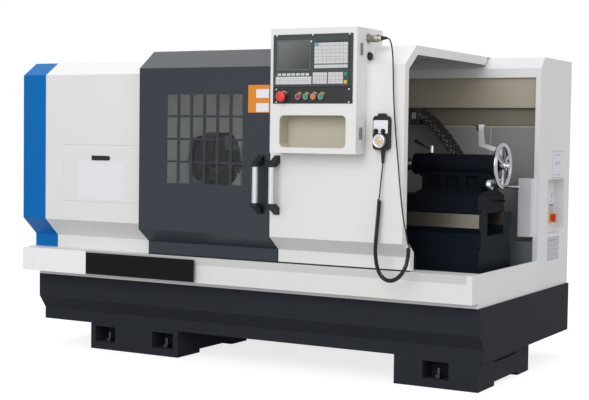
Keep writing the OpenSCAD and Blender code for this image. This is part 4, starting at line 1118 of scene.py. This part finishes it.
def chain_link(form, place, ahead, pitch):
    """One link: two side plates with hubs, lighter as a painted highlight, and a tongue, and crossbars over
    and under the cables.
    """
    out = Vector((0, 1, 0))
    up = out.cross(ahead)
    end = (pitch - LINK_GAP) / 2
    nose = end - LINK_CHAMFER[0]
    low, high = CHAIN_HALF_HEIGHT - LINK_CHAMFER[1], CHAIN_HALF_HEIGHT
    outline = [(-end, -low), (-nose, -high), (nose, -high), (end, -low),
               (end, low), (nose, high), (-nose, high), (-end, low)]
    for side in (-1, 1):
        facing = (ahead, up, out * side)
        bridge(form, [outline_ring(form, facing, place, [(x * share, y * share) for x, y in outline], depth)
                      for depth, share in LINK_SIDE])
        proud = HUB_PROUD if side < 0 else 0
        for way, inset, rise in HUBS:
            depth = CHAIN_HALF_WIDTH - HUB_DEPTH + proud
            hub = place + (ahead * way * (end - inset) + up * rise + out * side * depth) * MM
            # The hubs take the lighter surface, a painted highlight.
            lathe(form, facing, hub, HUB_PROFILE, 16, 1)
        tongue = place + (ahead * (pitch / 2) + out * side * (CHAIN_HALF_WIDTH - TONGUE_DEPTH)) * MM
        plate(form, facing, tongue, pitch * TONGUE_SHARE, *TONGUE)
    for side in (-1, 1):
        for shift in (-pitch / 4, pitch / 4):
            bar = place + (up * side * low + ahead * shift) * MM
            plate(form, (out, ahead, up * side), bar, BAR_LENGTH, BAR_WIDTH, BAR_THICK, 1.0, 2.0)


def cable_chain():
    """The chain that carries the carriage's cables, from its bracket on the back wall."""
    form = bmesh.new()
    low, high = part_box("cable_chain")
    bracket_width, bracket_height = BRACKET_SIZE
    start = Vector((low.x + CHAIN_START, (low.y + high.y) / 2, high.z - CHAIN_DROP))
    route = smooth_route([start + Vector((x, 0, z)) * MM for x, z in CHAIN_ROUTE], ROUTE_STEPS)
    pitch = route_length(route) / CHAIN_LINKS
    for i in range(CHAIN_LINKS):
        place, ahead = along_route(route, pitch * (i + 0.5))
        chain_link(form, place, ahead, pitch / MM)
    bracket = Vector((start.x + BRACKET_SHIFT, high.y, high.z - bracket_height / 2 * MM))
    plate(form, FRONT, bracket, bracket_width, bracket_height, (high.y - low.y) / MM, 2.0, 4.0)
    cover = Vector((bracket.x - COVER_SHIFT, low.y, bracket.z))
    plate(form, FRONT, cover, *COVER_SIZE, 0.8, 0.2, 2.0, 2)
    made = piece("chain_links", form, None, "black_plastic", chain_plastic, chain_hub_highlight, aluminium)
    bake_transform(made)
    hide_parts("cable_chain")


# Stage

def camera():
    """The camera at the photograph's view."""
    back = Vector((sin(CAMERA_TURN) * cos(CAMERA_RISE), -cos(CAMERA_TURN) * cos(CAMERA_RISE),
                   sin(CAMERA_RISE)))
    right = Vector((cos(CAMERA_TURN), sin(CAMERA_TURN), 0))
    up = back.cross(right)
    side = cos(CAMERA_ROLL) * right + sin(CAMERA_ROLL) * up
    over = -sin(CAMERA_ROLL) * right + cos(CAMERA_ROLL) * up
    lens = bpy.data.cameras.new("camera")
    lens.sensor_fit = "HORIZONTAL"
    lens.sensor_width = CAMERA_SENSOR
    lens.lens = CAMERA_LENS
    eye = add_object("camera", lens)
    turn = Matrix((side, over, back)).transposed().to_4x4()
    eye.matrix_world = Matrix.Translation(CAMERA_PLACE) @ turn
    scene.camera = eye


def seen_directly(tree):
    """1 for rays that come from the camera, straight or by a mirror or glass, else 0."""
    path = add(tree, "LightPath").outputs
    either = maths(tree, "MAXIMUM", path["Is Camera Ray"], path["Is Glossy Ray"])
    return maths(tree, "MAXIMUM", either, path["Is Transmission Ray"])


SKY_STRENGTH = 0.60
FLOOR_COLOR = srgb(178, 178, 178)
FLOOR_LIFT = 0.78  # glow that only the camera sees, so that the floor shows as pale as the sky
FLOOR_SIZE = 40
FLOOR_GAP = 0.5 * MM  # under the machine's feet
# Softboxes: place, target, size and power
LIGHTS = {
    "key_light": ((1.0, -8.0, 4.0), (0, -0.4, 0.9), 5.0, 285),
    "side_light": ((7.0, -2.0, 3.0), (0.8, 0, 0.9), 4.0, 72),
    "top_light": ((-2.4, 0.2, 6.0), (-0.2, -0.4, 1.2), 4.0, 72),
}


def world():
    """An even studio sky that shows as white."""
    sky = bpy.data.worlds.new("studio")
    sky.use_nodes = True
    tree = sky.node_tree
    tree.nodes.clear()
    light = add(tree, "Background", {"Color": (1, 1, 1, 1), "Strength": SKY_STRENGTH}).outputs[0]
    shown = add(tree, "Background", {"Color": (1, 1, 1, 1), "Strength": 1.0}).outputs[0]
    both = add(tree, "MixShader", {0: seen_directly(tree), 1: light, 2: shown}).outputs[0]
    add(tree, "OutputWorld", {"Surface": both})
    scene.world = sky


def floor():
    """A plain pale floor that keeps the machine's shadow."""
    form = bmesh.new()
    bmesh.ops.create_grid(form, x_segments=1, y_segments=1, size=FLOOR_SIZE)
    mesh = bpy.data.meshes.new("floor")
    form.to_mesh(mesh)
    form.free()
    ground = add_object("floor", mesh)
    ground.location.z = -FLOOR_GAP
    surface = bpy.data.materials.new("floor")
    surface.use_nodes = True
    tree = surface.node_tree
    tree.nodes.clear()
    matte = add(tree, "BsdfDiffuse", {"Color": FLOOR_COLOR}).outputs[0]
    lift = maths(tree, "MULTIPLY", seen_directly(tree), FLOOR_LIFT)
    glow = add(tree, "Emission", {"Color": (1, 1, 1, 1), "Strength": lift}).outputs[0]
    both = add(tree, "AddShader", {0: matte, 1: glow}).outputs[0]
    add(tree, "OutputMaterial", {"Surface": both})
    mesh.materials.append(surface)


def softbox(name, place, target, size, power):
    """A square area lamp that faces a target."""
    lamp = bpy.data.lights.new(name, "AREA")
    lamp.shape = "SQUARE"
    lamp.size = size
    lamp.energy = power
    box = add_object(name, lamp)
    box.location = place
    box.rotation_mode = "QUATERNION"
    box.rotation_quaternion = (Vector(target) - Vector(place)).to_track_quat("-Z", "Y")


def lights():
    """The studio's sky and softboxes."""
    world()
    for name, settings in LIGHTS.items():
        softbox(name, *settings)


dress_nodes()
camera()
panel_keys()
screen_frame()
panel_fittings()
pendant_dial()
pendant_wheel_face()
access_paper()
door_sign()
wall_sheets()
side_plates()
pocket_cards()
base_screws()
door_gap_shades()
hinge_details()
chuck_screws()
thread()
pendant_cord()
cable_chain()
floor()
lights()

bpy.context.scene.view_settings.view_transform = "Standard"
